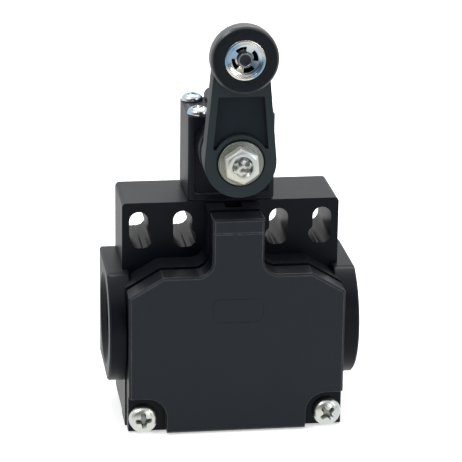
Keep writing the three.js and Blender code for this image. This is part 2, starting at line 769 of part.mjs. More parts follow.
// A small arc at each corner runs on into one flat arc over the top
function ridgeOutline() {
  const half = RIDGE_W / 2;
  const r = RIDGE_CORNER_R;
  const sweep = THREE.MathUtils.degToRad(RIDGE_CORNER_SWEEP);
  const crownR = (half - r) / Math.cos(sweep) + r;
  const crownZ = HEAD_TOP_Z + RIDGE_RISE - crownR;
  const cornerZ = crownZ + (crownR - r) * Math.sin(sweep);
  const shape = new THREE.Shape();
  shape.moveTo(-half, HEAD_TOP_Z - HEAD_CAVITY_ROOF);
  shape.lineTo(half, HEAD_TOP_Z - HEAD_CAVITY_ROOF);
  shape.absarc(half - r, cornerZ, r, 0, sweep, false);
  shape.absarc(0, crownZ, crownR, sweep, Math.PI - sweep, false);
  shape.absarc(-half + r, cornerZ, r, Math.PI - sweep, Math.PI, false);
  shape.closePath();
  return shape;
}

function actuatorHead() {
  const half = HEAD_W / 2;
  const noseR = NOSE_D / 2;
  const block = slabZ(
    roundedRect(-half, half, -HEAD_D, 0, HEAD_CORNER_R), HEAD_BOTTOM_Z, HEAD_TOP_Z, 3,
  );
  const ridge = slabY(ridgeOutline(), 0, -HEAD_D, 6, HEAD_EDGE);
  const nose = turnedY([
    [0, NOSE_Y],
    [noseR - NOSE_CHAMFER, NOSE_Y],
    [noseR, NOSE_Y + NOSE_CHAMFER],
    [noseR, HEAD_CAVITY_FRONT_Y],
    [0, HEAD_CAVITY_FRONT_Y],
  ], 0, AXIS_Z, FINE);
  const face = slabY(
    roundedRect(
      -half + FACE_RIM, half - FACE_RIM,
      HEAD_BOTTOM_Z + FACE_RIM, HEAD_TOP_Z - FACE_BROW, HEAD_CORNER_R,
    ),
    -HEAD_D + FACE_RECESS, -HEAD_D - 1, 3,
  );
  const cavity = box(
    -HEAD_CAVITY_W / 2, HEAD_CAVITY_W / 2, -HEAD_BACK_WALL, HEAD_CAVITY_FRONT_Y,
    HEAD_BOTTOM_Z - 1, AXIS_Z + CAM_R + HEAD_CAVITY_ROOF,
  );
  const bushBore = turnedY(
    rod(BUSH_D / 2 + RUN, NOSE_Y + NOSE_LIP, HEAD_CAVITY_FRONT_Y + 1), 0, AXIS_Z,
  );
  const shaftHole = turnedY(rod(SHAFT_D / 2 + GAP, NOSE_Y - 1, BUSH_FRONT_Y), 0, AXIS_Z);
  const journalHole = turnedY(
    rod(JOURNAL_D / 2 + RUN, -HEAD_BACK_WALL - 1, CAM_BACK_Y + JOURNAL_L + GAP), 0, AXIS_Z,
  );
  return cut(
    joined(cut(block, face), ridge, nose),
    cavity, bushBore, shaftHole, journalHole, ...headScrewTools(HEAD_BOTTOM_Z - 1, HEAD_TOP_Z + 1),
  );
}

const headScrewTools = (from, to) => headScrewPlaces.map(
  ({ x, y }) => turnedZ(rod(HEAD_SCREW_D / 2 + RUN, from, to), x, y, SMALL),
);

// Flat gasket under the head, open for the plunger and the four screws
function headGasket() {
  const half = HEAD_W / 2 - GASKET_INSET;
  const sheet = slabZ(
    roundedRect(-half, half, -HEAD_D + GASKET_INSET, -GASKET_INSET, HEAD_CORNER_R),
    BLOCK_TOP, HEAD_BOTTOM_Z, 3,
  );
  const opening = box(
    -HEAD_CAVITY_W / 2, HEAD_CAVITY_W / 2, -HEAD_BACK_WALL, HEAD_CAVITY_FRONT_Y,
    BLOCK_TOP - 1, HEAD_BOTTOM_Z + 1,
  );
  return cut(sheet, opening, ...headScrewTools(BLOCK_TOP - 1, HEAD_BOTTOM_Z + 1));
}

// Shaft, bush and ring lie on the lever's axis, so they are drawn about it

function leverShaft() {
  const r = SHAFT_D / 2;
  const round = turnedY([
    [0, SHAFT_END_Y],
    [r - LEVER_EDGE, SHAFT_END_Y],
    [r, SHAFT_END_Y + LEVER_EDGE],
    [r, CAM_FRONT_Y],
    [CAM_R, CAM_FRONT_Y],
    [CAM_R, CAM_BACK_Y],
    [JOURNAL_D / 2, CAM_BACK_Y],
    [JOURNAL_D / 2, CAM_BACK_Y + JOURNAL_L],
    [0, CAM_BACK_Y + JOURNAL_L],
  ], 0, 0);
  const camFlat = box(-CAM_R, CAM_R, CAM_FRONT_Y, CAM_BACK_Y, -CAM_R - 1, -CAM_FLAT);
  const flats = SIDES_LR.map(([, side]) => box(
    side * SHAFT_FLAT, side * SHAFT_D, SHAFT_END_Y - 1, LEVER_BACK_Y + RUN, -SHAFT_D, SHAFT_D,
  ));
  const thread = turnedY(
    rod(BOLT_D / 2 + RUN, SHAFT_END_Y - 1, WASHER_FRONT_Y + BOLT_L + GAP), 0, 0, SMALL,
  );
  return cut(round, camFlat, ...flats, thread);
}

const shaftBush = () =>
  turnedY(tubeProfile(BUSH_BORE / 2, BUSH_D / 2, BUSH_FRONT_Y, BUSH_BACK_Y), 0, 0);

const shaftSeal = () => turnedY(
  tubeProfile(SHAFT_D / 2 + RING_GRIP, BUSH_D / 2 + RUN - RING_GRIP, RING_BACK_Y - RING_L, RING_BACK_Y),
  0, 0,
);

// Lever: two rounds joined by their outer tangents, sunk between its rims in front and behind

function leverOutline(inset) {
  const big = LEVER_BOSS_D / 2 - inset;
  const small = LEVER_TIP_D / 2 - inset;
  const lean = Math.asin((big - small) / LEVER_REACH);
  const shape = new THREE.Shape();
  shape.absarc(0, 0, big, Math.PI - lean, 2 * Math.PI + lean, false);
  shape.absarc(0, LEVER_REACH, small, lean, Math.PI - lean, false);
  shape.closePath();
  return shape;
}

// The lever's inside outline from its foot to its head, cut clear of the ring round the bolt
function leverRecess(backY, frontY, ringR) {
  const inside = common(
    slabY(leverOutline(WEB_RIM), backY, frontY, 8),
    box(-LEVER_BOSS_D, LEVER_BOSS_D, backY, frontY, WEB_FOOT, WEB_HEAD),
  );
  return cut(inside, turnedY(rod(ringR, frontY - 1, backY + 1), 0, 0));
}

function leverArm() {
  const arm = slabY(leverOutline(0), ARM_BACK_Y, LEVER_FRONT_Y, 10, LEVER_EDGE);
  const rear = turnedY(rod(LEVER_REAR_D / 2, ARM_BACK_Y - 1, LEVER_BACK_Y), 0, 0, FINE);
  const web = leverRecess(LEVER_FRONT_Y + WEB_DEPTH, LEVER_FRONT_Y - 1, WEB_RING_D / 2);
  const backPocket = leverRecess(
    ARM_BACK_Y + 1, ARM_BACK_Y - BACK_POCKET_DEPTH, LEVER_REAR_D / 2 + WEB_RIM,
  );
  const drive = common(
    turnedY(rod(SHAFT_D / 2 + RUN, SHAFT_END_Y - GAP, LEVER_BACK_Y + 1), 0, 0),
    box(
      -SHAFT_FLAT - RUN, SHAFT_FLAT + RUN, SHAFT_END_Y - GAP, LEVER_BACK_Y + 1, -SHAFT_D, SHAFT_D,
    ),
  );
  const boltHole = turnedY(rod(BOLT_D / 2 + GAP, LEVER_FRONT_Y - 1, LEVER_BACK_Y), 0, 0, SMALL);
  const washerSeat = turnedY(rod(WASHER_SEAT_D / 2, LEVER_FRONT_Y - 1, WASHER_SEAT_Y), 0, 0);
  const pinHole = turnedY(
    rod(PIN_D / 2 + RUN, LEVER_FRONT_Y - 1, ARM_BACK_Y + 1), 0, LEVER_REACH, SMALL,
  );
  return cut(joined(arm, rear), web, backPocket, drive, boltHole, washerSeat, pinHole);
}

const leverWasher = () =>
  turnedY(tubeProfile(BOLT_D / 2 + GAP, WASHER_D / 2, WASHER_FRONT_Y, WASHER_SEAT_Y), 0, 0);

// Hexagon head with bevelled corners and a round dimple, on a plain shank
function leverBolt() {
  const r = HEX_AF / 2 / Math.cos(Math.PI / 6);
  const hexagon = new THREE.Shape();
  for (let i = 0; i < 6; i += 1) {
    const a = THREE.MathUtils.degToRad(90 + HEX_TURN + 60 * i);
    const [x, z] = [r * Math.cos(a), r * Math.sin(a)];
    if (i === 0) hexagon.moveTo(x, z);
    else hexagon.lineTo(x, z);
  }
  hexagon.closePath();
  const frontY = WASHER_FRONT_Y - HEX_H;
  const bevelled = turnedY([
    [0, frontY],
    [HEX_FACE_D / 2, frontY],
    [r, frontY + HEX_CHAMFER],
    [r, WASHER_FRONT_Y],
    [0, WASHER_FRONT_Y],
  ], 0, 0);
  const head = common(slabY(hexagon, WASHER_FRONT_Y, frontY), bevelled);
  const dimple = turnedY([
    [0, frontY - 1],
    [HEX_DIMPLE_D / 2, frontY - 1],
    [HEX_DIMPLE_D / 2, frontY],
    [HEX_DIMPLE_D / 3, frontY + HEX_DIMPLE_DEPTH],
    [0, frontY + HEX_DIMPLE_DEPTH],
  ], 0, 0, SMALL);
  const shank = turnedY(
    rod(BOLT_D / 2, WASHER_FRONT_Y - HEX_H / 2, WASHER_FRONT_Y + BOLT_L), 0, 0, SMALL,
  );
  return cut(joined(head, shank), dimple);
}

// Roller: tyre on a pressed hub with curved windows, turning on a riveted pin

function rollerTyre() {
  const [bore, r, edge] = [HUB_D / 2 + RUN, ROLLER_D / 2, ROLLER_CHAMFER];
  return turnedY([
    [bore, ROLLER_FRONT_Y],
    [r - edge, ROLLER_FRONT_Y],
    [r, ROLLER_FRONT_Y + edge],
    [r, ROLLER_BACK_Y - edge],
    [r - edge, ROLLER_BACK_Y],
    [bore, ROLLER_BACK_Y],
    [bore, ROLLER_FRONT_Y],
  ], 0, 0, FINE);
}

function hubWindow(middle) {
  const from = THREE.MathUtils.degToRad(middle - WINDOW_SPAN / 2);
  const to = THREE.MathUtils.degToRad(middle + WINDOW_SPAN / 2);
  const shape = new THREE.Shape();
  shape.absarc(0, 0, WINDOW_OUT, from, to, false);
  shape.absarc(0, 0, WINDOW_IN, to, from, true);
  shape.closePath();
  return slabY(shape, HUB_SKIN_Y + HUB_SKIN + RUN, ROLLER_FRONT_Y, 3);
}

function rollerHub() {
  const [bore, core, r] = [HUB_BORE / 2, HUB_CORE_D / 2, HUB_D / 2];
  const inner = r - HUB_RIM;
  const body = turnedY([
    [bore, HUB_SKIN_Y],
    [inner, HUB_SKIN_Y],
    [inner, ROLLER_FRONT_Y + HUB_LIP],
    [inner + HUB_LIP, ROLLER_FRONT_Y],
    [r - HUB_LIP, ROLLER_FRONT_Y],
    [r, ROLLER_FRONT_Y + HUB_LIP],
    [r, ROLLER_BACK_Y],
    [inner, ROLLER_BACK_Y],
    [inner, HUB_SKIN_Y + HUB_SKIN],
    [core, HUB_SKIN_Y + HUB_SKIN],
    [core, ROLLER_BACK_Y],
    [bore, ROLLER_BACK_Y],
    [bore, HUB_SKIN_Y],
  ], 0, 0);
  const windows = Array.from(
    { length: WINDOW_COUNT },
    (_, i) => hubWindow(WINDOW_TURN + (360 * i) / WINDOW_COUNT),
  );
  return cut(body, ...windows);
}

function rollerPin() {
  const seatY = HUB_SKIN_Y - RUN;
  const topY = seatY - PIN_HEAD_T;
  const [r, headR, dimpleR] = [PIN_D / 2, PIN_HEAD_D / 2, PIN_DIMPLE_D / 2];
  return turnedY([
    [0, topY + PIN_DIMPLE_DEPTH],
    [dimpleR - RUN, topY + PIN_DIMPLE_DEPTH],
    [dimpleR, topY],
    [headR - RUN, topY],
    [headR, topY + RUN],
    [headR, seatY],
    [r, seatY],
    [r, ARM_BACK_Y],
    [PIN_TAIL_D / 2, ARM_BACK_Y],
    [PIN_TAIL_D / 2, ARM_BACK_Y + PIN_TAIL_T],
    [0, ARM_BACK_Y + PIN_TAIL_T],
  ], 0, 0, COARSE);
}

// Plunger train on one upright line: plunger, guide, contact slide and the two springs

function headPlunger() {
  const headZ = PLUNGER_TOP_Z - PLUNGER_HEAD_T;
  return turned([
    [0, STEM_BOTTOM_Z],
    [STEM_D / 2, STEM_BOTTOM_Z],
    [STEM_D / 2, headZ],
    [PLUNGER_HEAD_D / 2, headZ],
    [PLUNGER_HEAD_D / 2, PLUNGER_TOP_Z - LEVER_EDGE],
    [PLUNGER_HEAD_D / 2 - LEVER_EDGE, PLUNGER_TOP_Z],
    [0, PLUNGER_TOP_Z],
  ], COARSE).rotateX(Math.PI / 2);
}

function plungerGuide() {
  const bore = STEM_D / 2 + RUN;
  const flangeZ = BLOCK_TOP + GUIDE_FLANGE_T;
  return turned([
    [bore, BLOCK_TOP - GUIDE_L],
    [GUIDE_D / 2, BLOCK_TOP - GUIDE_L],
    [GUIDE_D / 2, BLOCK_TOP],
    [GUIDE_FLANGE_D / 2, BLOCK_TOP],
    [GUIDE_FLANGE_D / 2, flangeZ],
    [bore, flangeZ],
    [bore, BLOCK_TOP - GUIDE_L],
  ], COARSE).rotateX(Math.PI / 2);
}

function contactPlunger() {
  const [w, d] = [ROD_W / 2, SLIDE_D / 2];
  const stem = box(-w, w, -w, w, SLIDE_TOP_Z - 1, STEM_BOTTOM_Z - GAP);
  const slide = box(-w, w, -d, d, SLIDE_BOTTOM_Z, SLIDE_TOP_Z);
  const peg = turnedZ(rod(PEG_D / 2, SLIDE_BOTTOM_Z - PEG_L, SLIDE_BOTTOM_Z + 1), 0, 0, SMALL);
  const windows = [BRIDGE_NC_Z, BRIDGE_NO_Z].map((z) => box(
    -ROD_W, ROD_W, -BRIDGE_W / 2 - RUN, BRIDGE_W / 2 + RUN, z - RUN, z + BRIDGE_T + RUN,
  ));
  return cut(joined(stem, slide, peg), ...windows);
}

// A moving bridge lies on z = 0; its two tips face up or down
function contactBridge(tipSide) {
  const plate = box(-BRIDGE_L / 2, BRIDGE_L / 2, -BRIDGE_W / 2, BRIDGE_W / 2, 0, BRIDGE_T);
  const [from, to] = tipSide > 0 ? [BRIDGE_T / 2, BRIDGE_T + TIP_T] : [-TIP_T, BRIDGE_T / 2];
  const tips = SIDES_LR.map(([, side]) => turnedZ(rod(TIP_D / 2, from, to), side * TIP_X, 0, SMALL));
  return joined(plate, ...tips);
}

// Contact carrier: a box open in front, a shelf for each terminal and two screwed lugs

const CONTACT_LEVELS = [
  { level: 'nc', z: NC_Z, tipSide: -1 },
  { level: 'no', z: NO_Z, tipSide: 1 },
];

function contactCarrier() {
  const half = CARRIER_W / 2;
  const hollowBackY = CARRIER_BACK_Y - CARRIER_BACK;
  const [hollowBottom, hollowTop] = [CARRIER_BOTTOM_Z + CARRIER_FLOOR, CARRIER_TOP_Z - CARRIER_FLOOR];
  const outer = box(-half, half, CARRIER_FRONT_Y, CARRIER_BACK_Y, CARRIER_BOTTOM_Z, CARRIER_TOP_Z);
  const hollow = box(
    -half + CARRIER_WALL, half - CARRIER_WALL, CARRIER_FRONT_Y - 1, hollowBackY,
    hollowBottom, hollowTop,
  );
  const added = [];
  const taken = [box(
    -ROD_W / 2 - RUN, ROD_W / 2 + RUN,
    PLUNGER_Y - ROD_W / 2 - RUN, PLUNGER_Y + ROD_W / 2 + RUN,
    hollowTop - 1, CARRIER_TOP_Z + 1,
  )];
  for (const [, side] of SIDES_LR) {
    added.push(box(
      side * (half - CARRIER_WALL / 2), side * (half + LUG_W),
      CARRIER_SCREW_SEAT_Y, CARRIER_BACK_Y, CARRIER_TOP_Z - LUG_H, CARRIER_TOP_Z,
    ));
    added.push(box(
      side * (ROD_W / 2 + GAP), side * (ROD_W / 2 + GAP + RIB_T),
      hollowBackY - RIB_H, hollowBackY + 1, hollowBottom - 1, hollowTop + 1,
    ));
    for (const { z } of CONTACT_LEVELS) {
      added.push(box(
        side * (half - CARRIER_WALL / 2), side * (half + SHELF_W),
        SHELF_FRONT_Y, CARRIER_BACK_Y, z - SHELF_H, z,
      ));
      taken.push(box(
        side * (half - CARRIER_WALL - 1), side * half,
        SHELF_FRONT_Y - GAP, SHELF_FRONT_Y + STRIP_W + GAP, z - GAP, z + STRIP_T + GAP,
      ));
      taken.push(turnedY(
        rod(TERMINAL_SCREW_D / 2 + RUN, SHELF_FRONT_Y - 1, TERMINAL_SEAT_Y + TERMINAL_SCREW_L + GAP),
        side * TERMINAL_X, z - TERMINAL_SCREW_DROP, SMALL,
      ));
    }
  }
  for (const { x } of carrierScrewPlaces) {
    taken.push(turnedY(
      rod(CARRIER_SCREW_D / 2 + RUN, CARRIER_SCREW_SEAT_Y - 1, CARRIER_BACK_Y + 1),
      x, LUG_SCREW_Z, SMALL,
    ));
  }
  return cut(joined(cut(outer, hollow), ...added), ...taken);
}

// A fixed contact: a bar on the shelf, a tab bent down in front of it and a silver tip. The shelf's
// top is z = 0.
function terminalStrip(side, tipSide) {
  const [tabIn, tabOut] = [side * (TERMINAL_X - TAB_W / 2), side * (TERMINAL_X + TAB_W / 2)];
  const bar = box(
    side * (TIP_X - TIP_D / 2 - TIP_INSET), tabOut,
    SHELF_FRONT_Y, SHELF_FRONT_Y + STRIP_W, 0, STRIP_T,
  );
  const bend = box(tabIn, tabOut, TAB_FRONT_Y, SHELF_FRONT_Y + STRIP_T, 0, STRIP_T);
  const tab = box(tabIn, tabOut, TAB_FRONT_Y, SHELF_FRONT_Y, -TAB_L, STRIP_T);
  const [from, to] = tipSide > 0 ? [STRIP_T / 2, STRIP_T + TIP_T] : [-TIP_T, STRIP_T / 2];
  const tip = turnedZ(rod(TIP_D / 2, from, to), side * TIP_X, PLUNGER_Y, SMALL);
  const hole = turnedY(
    rod(TERMINAL_SCREW_D / 2 + RUN, TAB_FRONT_Y - 1, SHELF_FRONT_Y + STRIP_T),
    side * TERMINAL_X, -TERMINAL_SCREW_DROP, SMALL,
  );
  return cut(joined(bar, bend, tab, tip), hole);
}

function terminalClamp() {
  const half = CLAMP_SIZE / 2;
  const plate = slabY(
    roundedRect(-half, half, -half, half, CORNER_R / 2), TAB_FRONT_Y, TERMINAL_SEAT_Y, 2,
  );
  const hole = turnedY(
    rod(TERMINAL_SCREW_D / 2 + RUN, TERMINAL_SEAT_Y - 1, TAB_FRONT_Y + 1), 0, 0, SMALL,
  );
  return cut(plate, hole);
}

// Assembly

add('housing', housing(), housingPlastic);
add('cover', cover(), housingPlastic);
add('cover_seal', coverSeal(), rubber);
add('actuator_head', actuatorHead(), housingPlastic);
add('head_gasket', headGasket(), rubber);

const facingFront = (geometry) => geometry.rotateX(Math.PI / 2);

coverScrewPlaces.forEach(({ name, x }, i) => {
  const screw = panScrew(
    COVER_SCREW_HEAD_D, COVER_SCREW_HEAD_H, COVER_SCREW_D, COVER_SCREW_L,
    COVER_SCREW_TURN * i, COARSE,
  );
  add(name, facingFront(screw), zinc, root, [x, POCKET_Y, SCREW_Z]);
});

headScrewPlaces.forEach(({ name, x, y }, i) => {
  const length = HEAD_TOP_Z - BLOCK_TOP + HEAD_SCREW_BITE;
  const screw = panScrew(
    HEAD_SCREW_HEAD_D, HEAD_SCREW_HEAD_H, HEAD_SCREW_D, length, HEAD_SCREW_TURN * i, COARSE,
  );
  add(name, screw, zinc, root, [x, y, HEAD_TOP_Z]);
});

const shaftLine = group(0, 0, AXIS_Z);
add('shaft_bush', shaftBush(), bronze, shaftLine);
add('shaft_seal', shaftSeal(), rubber, shaftLine);

const lever = group(0, 0, AXIS_Z);
add('lever_shaft', leverShaft(), steel, lever);
add('lever_arm', leverArm(), leverPlastic, lever);
add('lever_washer', leverWasher(), zinc, lever);
add('lever_bolt', leverBolt(), zinc, lever);

const roller = group(0, 0, LEVER_REACH, lever);
add('roller_tyre', rollerTyre(), tyrePlastic, roller);
add('roller_hub', rollerHub(), zinc, roller);
add('roller_pin', rollerPin(), darkSteel, roller);

const plungerLine = group(0, PLUNGER_Y, 0);
add('head_plunger', headPlunger(), whitePlastic, plungerLine);
add('plunger_guide', plungerGuide(), bronze, plungerLine);
add('contact_plunger', contactPlunger(), whitePlastic, plungerLine);
add('bridge_nc', contactBridge(1), silver, plungerLine, [0, 0, BRIDGE_NC_Z]);
add('bridge_no', contactBridge(-1), silver, plungerLine, [0, 0, BRIDGE_NO_Z]);

const springs = [
  {
    name: 'return_spring',
    from: BLOCK_TOP + GUIDE_FLANGE_T + RUN,
    to: PLUNGER_TOP_Z - PLUNGER_HEAD_T - RUN,
    size: [RETURN_D, RETURN_WIRE, RETURN_TURNS],
  },
  {
    name: 'contact_spring',
    from: CARRIER_BOTTOM_Z + CARRIER_FLOOR + RUN,
    to: SLIDE_BOTTOM_Z - RUN,
    size: [CONTACT_D, CONTACT_WIRE, CONTACT_TURNS],
  },
];
for (const { name, from, to, size } of springs) {
  const { geometry, gap } = coilZ(from, to, ...size);
  console.log(`${name}: least gap between curls ${gap.toFixed(2)} mm`);
  add(name, geometry, steel, plungerLine);
}

add('contact_carrier', contactCarrier(), carrierPlastic);

for (const { name, x } of carrierScrewPlaces) {
  const screw = panScrew(
    CARRIER_SCREW_HEAD_D, CARRIER_SCREW_HEAD_H, CARRIER_SCREW_D, CARRIER_SCREW_L, 0,
  );
  add(name, facingFront(screw), zinc, root, [x, CARRIER_SCREW_SEAT_Y, LUG_SCREW_Z]);
}

for (const { level, z, tipSide } of CONTACT_LEVELS) {
  for (const [sideName, side] of SIDES_LR) {
    const place = [side * TERMINAL_X, 0, z - TERMINAL_SCREW_DROP];
    const screw = panScrew(
      TERMINAL_SCREW_HEAD_D, TERMINAL_SCREW_HEAD_H, TERMINAL_SCREW_D, TERMINAL_SCREW_L,
      TERMINAL_SCREW_TURN,
    );
    add(`terminal_strip_${level}_${sideName}`, terminalStrip(side, tipSide), bronze, root, [0, 0, z]);
    add(`terminal_clamp_${level}_${sideName}`, terminalClamp(), zinc, root, place);
    add(`terminal_screw_${level}_${sideName}`, facingFront(screw), steel, root, [
      place[0], TERMINAL_SEAT_Y, place[2],
    ]);
  }
}

export default root;
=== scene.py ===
# %% [markdown]
# # A wide limit switch with a roller lever
# The switch is a black moulded box with a cable entry in each side, a T-shaped cover, a small head
# screwed on top and a lever with a roller. The construction comes ready made as a frame of named
# nodes, one for each real piece. This script only dresses it: it gives every node a finish, and it
# puts a finer surface over the pieces whose edges and curves show. Loading the frame comes first,
# because many sizes and places below are read from it. Lengths are in metres.

# %% Load the frame
import math

import bmesh
import bpy
from mathutils import Matrix, Vector, noise


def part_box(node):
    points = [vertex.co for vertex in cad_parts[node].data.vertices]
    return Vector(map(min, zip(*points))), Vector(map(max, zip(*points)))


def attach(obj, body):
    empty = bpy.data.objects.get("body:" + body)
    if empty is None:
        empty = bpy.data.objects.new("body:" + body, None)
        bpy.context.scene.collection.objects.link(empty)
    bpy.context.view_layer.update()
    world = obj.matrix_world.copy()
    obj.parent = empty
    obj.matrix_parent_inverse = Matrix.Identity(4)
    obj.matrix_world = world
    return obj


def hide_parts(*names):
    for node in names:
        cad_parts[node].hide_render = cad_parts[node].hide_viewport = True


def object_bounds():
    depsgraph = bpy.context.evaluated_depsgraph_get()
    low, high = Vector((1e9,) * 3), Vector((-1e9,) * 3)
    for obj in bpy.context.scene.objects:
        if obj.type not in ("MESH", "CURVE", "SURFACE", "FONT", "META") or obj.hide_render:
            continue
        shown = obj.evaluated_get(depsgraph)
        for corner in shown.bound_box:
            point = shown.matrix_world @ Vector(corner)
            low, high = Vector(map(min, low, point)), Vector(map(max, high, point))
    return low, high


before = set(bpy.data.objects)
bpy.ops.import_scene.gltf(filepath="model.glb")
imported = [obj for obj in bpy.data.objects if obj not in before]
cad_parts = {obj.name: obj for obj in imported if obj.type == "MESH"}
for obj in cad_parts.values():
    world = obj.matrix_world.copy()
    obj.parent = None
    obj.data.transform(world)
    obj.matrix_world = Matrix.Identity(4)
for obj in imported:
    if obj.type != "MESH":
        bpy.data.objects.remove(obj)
cad_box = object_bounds()
MM = 0.001

# %% [markdown]
# ## Measures taken from the frame
# A real fitter would take these with a caliper. Here each one is read from the box of the node
# that has it, so a change in the construction carries over by itself.

# %% Read centres and the floor from the node boxes


def middle(node):
    low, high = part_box(node)
    return (low + high) / 2


LEVER_AXIS = middle("lever_washer")
ROLLER_AXIS = middle("roller_hub")
FLOOR_Z = cad_box[0][2]
print("lever axis at z", round(LEVER_AXIS.z / MM, 2), "mm")
print("roller axis at z", round(ROLLER_AXIS.z / MM, 2), "mm")

# %% [markdown]
# ## The camera
# The photograph was taken from a little above and from the left, with a long lens, so that upright
# edges stay nearly upright. The camera stands half a metre away and looks down at 18 degrees. Its
# place and direction could be found by trial, but here they come from matching edges of the model
# to the same edges in the photograph.

# %% Set up the camera
CAMERA_PLACE = Vector((-0.07098, -0.50823, 0.16116))
LOOK_RIGHT = math.radians(8.23)
LOOK_DOWN = math.radians(18.3)
ROLL = math.radians(0.79)
LENS = 179.2
SENSOR = 36


def make_camera():
    data = bpy.data.cameras.new("photo_camera")
    data.lens = LENS
    data.sensor_width = SENSOR
    camera = bpy.data.objects.new("photo_camera", data)
    turn = Matrix.Rotation(-LOOK_RIGHT, 4, "Z") @ Matrix.Rotation(math.pi / 2 - LOOK_DOWN, 4, "X")
    camera.matrix_world = Matrix.Translation(CAMERA_PLACE) @ turn @ Matrix.Rotation(ROLL, 4, "Z")
    bpy.context.scene.collection.objects.link(camera)
    bpy.context.scene.camera = camera
    return camera


camera = make_camera()
bpy.context.scene.view_settings.view_transform = "Standard"
print("camera", [round(x, 3) for x in camera.matrix_world.translation], "lens", LENS)

# %% [markdown]
# ## Nodes in a few lines
# The world, the floor, the finishes and the Geometry Nodes below are all node trees. In Blender's
# editor each node is placed and wired by hand. Here one helper makes a node and fills its inputs by
# their labels, so that a tree reads like a list of its nodes.

# %% A small kit for node trees


def link(tree, source, target):
    tree.links.new(source, target)


def fill(tree, socket, value):
    """Links another node's output to the socket, or gives the socket a plain value."""
    if isinstance(value, bpy.types.NodeSocket):
        link(tree, value, socket)
    else:
        socket.default_value = value


def add_node(tree, kind, settings=None, **sockets):
    """Makes a node, fills its inputs by label and returns its first output, if it has one."""
    node = tree.nodes.new(kind)
    for label, value in (settings or {}).items():
        setattr(node, label, value)
    for label, value in sockets.items():
        fill(tree, node.inputs[label.replace("_", " ")], value)
    return node.outputs[0] if node.outputs else node


def in_order(output, *values):
    """Fills the inputs of the output's node in their order, for inputs that share a label."""
    for socket, value in zip(output.node.inputs, values):
        fill(output.id_data, socket, value)
    return output


def math_node(tree, operation, *values, **settings):
    return in_order(add_node(tree, "ShaderNodeMath", {"operation": operation, **settings}), *values)


def vector_node(tree, operation, *values):
    return in_order(add_node(tree, "ShaderNodeVectorMath", {"operation": operation}), *values)


def mix_shaders(tree, factor, first, second):
    return in_order(add_node(tree, "ShaderNodeMixShader"), factor, first, second)


def fade(tree, value, span, levels):
    """Goes smoothly from the first level to the second while the value crosses the span."""
    return add_node(
        tree, "ShaderNodeMapRange", {"interpolation_type": "SMOOTHSTEP"},
        Value=value, From_Min=span[0], From_Max=span[1], To_Min=levels[0], To_Max=levels[1],
    )


def ray_is(tree, kind):
    """One for light rays of this kind, zero for all others."""
    return add_node(tree, "ShaderNodeLightPath").node.outputs[kind]


def coordinates(tree, kind="Object"):
    """The place on the surface in the object's own axes, or its normal or the world's direction."""
    return add_node(tree, "ShaderNodeTexCoord").node.outputs[kind]


print("node kit ready")

# %% [markdown]
# ## Light, backdrop and floor
# Product pictures like this one are shot in a white tent: light comes from all round, strongest
# from above and behind, and the side where the camera stands is darker. That darker side is what
# keeps a black plastic front black while its top and side faces pick up the white behind them. The
# world below does the same. It is white behind and above the switch and grey on the camera's side,
# and camera rays see plain white. Soft lamps add direction.

# %% Build the world
WHITE = (1, 1, 1, 1)
TENT_AXIS = (0.0, 0.8, 0.6)
TENT_FADE = (-0.55, 0.40)
TENT_FRONT = 0.10
TENT_BACK = 1.05


def make_world():
    world = bpy.data.worlds.new("white_tent")
    bpy.context.scene.world = world
    world.use_nodes = True
    tree = world.node_tree
    tree.nodes.clear()
    toward = vector_node(tree, "DOT_PRODUCT", coordinates(tree, "Generated"), TENT_AXIS)
    grey = fade(tree, toward.node.outputs["Value"], TENT_FADE, (TENT_FRONT, TENT_BACK))
    tent = add_node(tree, "ShaderNodeBackground", Color=grey)
    plain = add_node(tree, "ShaderNodeBackground", Color=WHITE)
    seen = mix_shaders(tree, ray_is(tree, "Is Camera Ray"), tent, plain)
    add_node(tree, "ShaderNodeOutputWorld", Surface=seen)
    return world


print("world:", make_world().name)

# %% [markdown]
# The lamps are large area lamps, as soft boxes are. Each has its own job: the first lights the
# scene from the upper left, the second gives round metal a second highlight from the right, the
# third stands low beside the camera and whitens metal facets that face right, and the fourth
# brightens top faces from behind.

# %% Hang the lamps


def soft_box(name, place, size, watts, aim):
    data = bpy.data.lights.new(name, "AREA")
    data.shape = "RECTANGLE"
    data.size, data.size_y = size
    data.energy = watts
    lamp = bpy.data.objects.new(name, data)
    lamp.location = place
    lamp.rotation_euler = (aim - Vector(place)).to_track_quat("-Z", "Y").to_euler()
    bpy.context.scene.collection.objects.link(lamp)
    return lamp


LAMP_AIM = Vector((0, -0.01, 0))
LAMPS = [
    ("key_upper_left", (-0.42, -0.30, 0.60), (0.30, 0.30), 1.8),
    ("fill_right", (0.52, -0.40, 0.30), (0.12, 0.40), 0.8),
    ("card_right", (0.25, -0.66, 0.15), (0.10, 0.30), 0.5),
    ("top_rear", (0.10, 0.30, 0.60), (0.5, 0.3), 3.2),
]
for lamp_name, place, size, watts in LAMPS:
    soft_box(lamp_name, place, size, watts, LAMP_AIM)
print("lamps:", [entry[0] for entry in LAMPS])

# %% [markdown]
# The floor is a white sweep. Camera rays see it evenly lit, so that it melts into the background and
# keeps only the soft shadow. For light and reflections it is white behind the switch and fades to
# grey towards the camera, as a sweep does outside its lamps. A wholly white floor would mirror in the
# black fronts and turn them grey. Metal and glancing faces still show the white.

# %% Floor material
FLOOR_WHITE = (0.86, 0.86, 0.86, 1)
FLOOR_GLOW = 0.45
FLOOR_FADE = (-0.60, -0.26)
FLOOR_FAR = 0.20
FLOOR_NEAR = 1.05


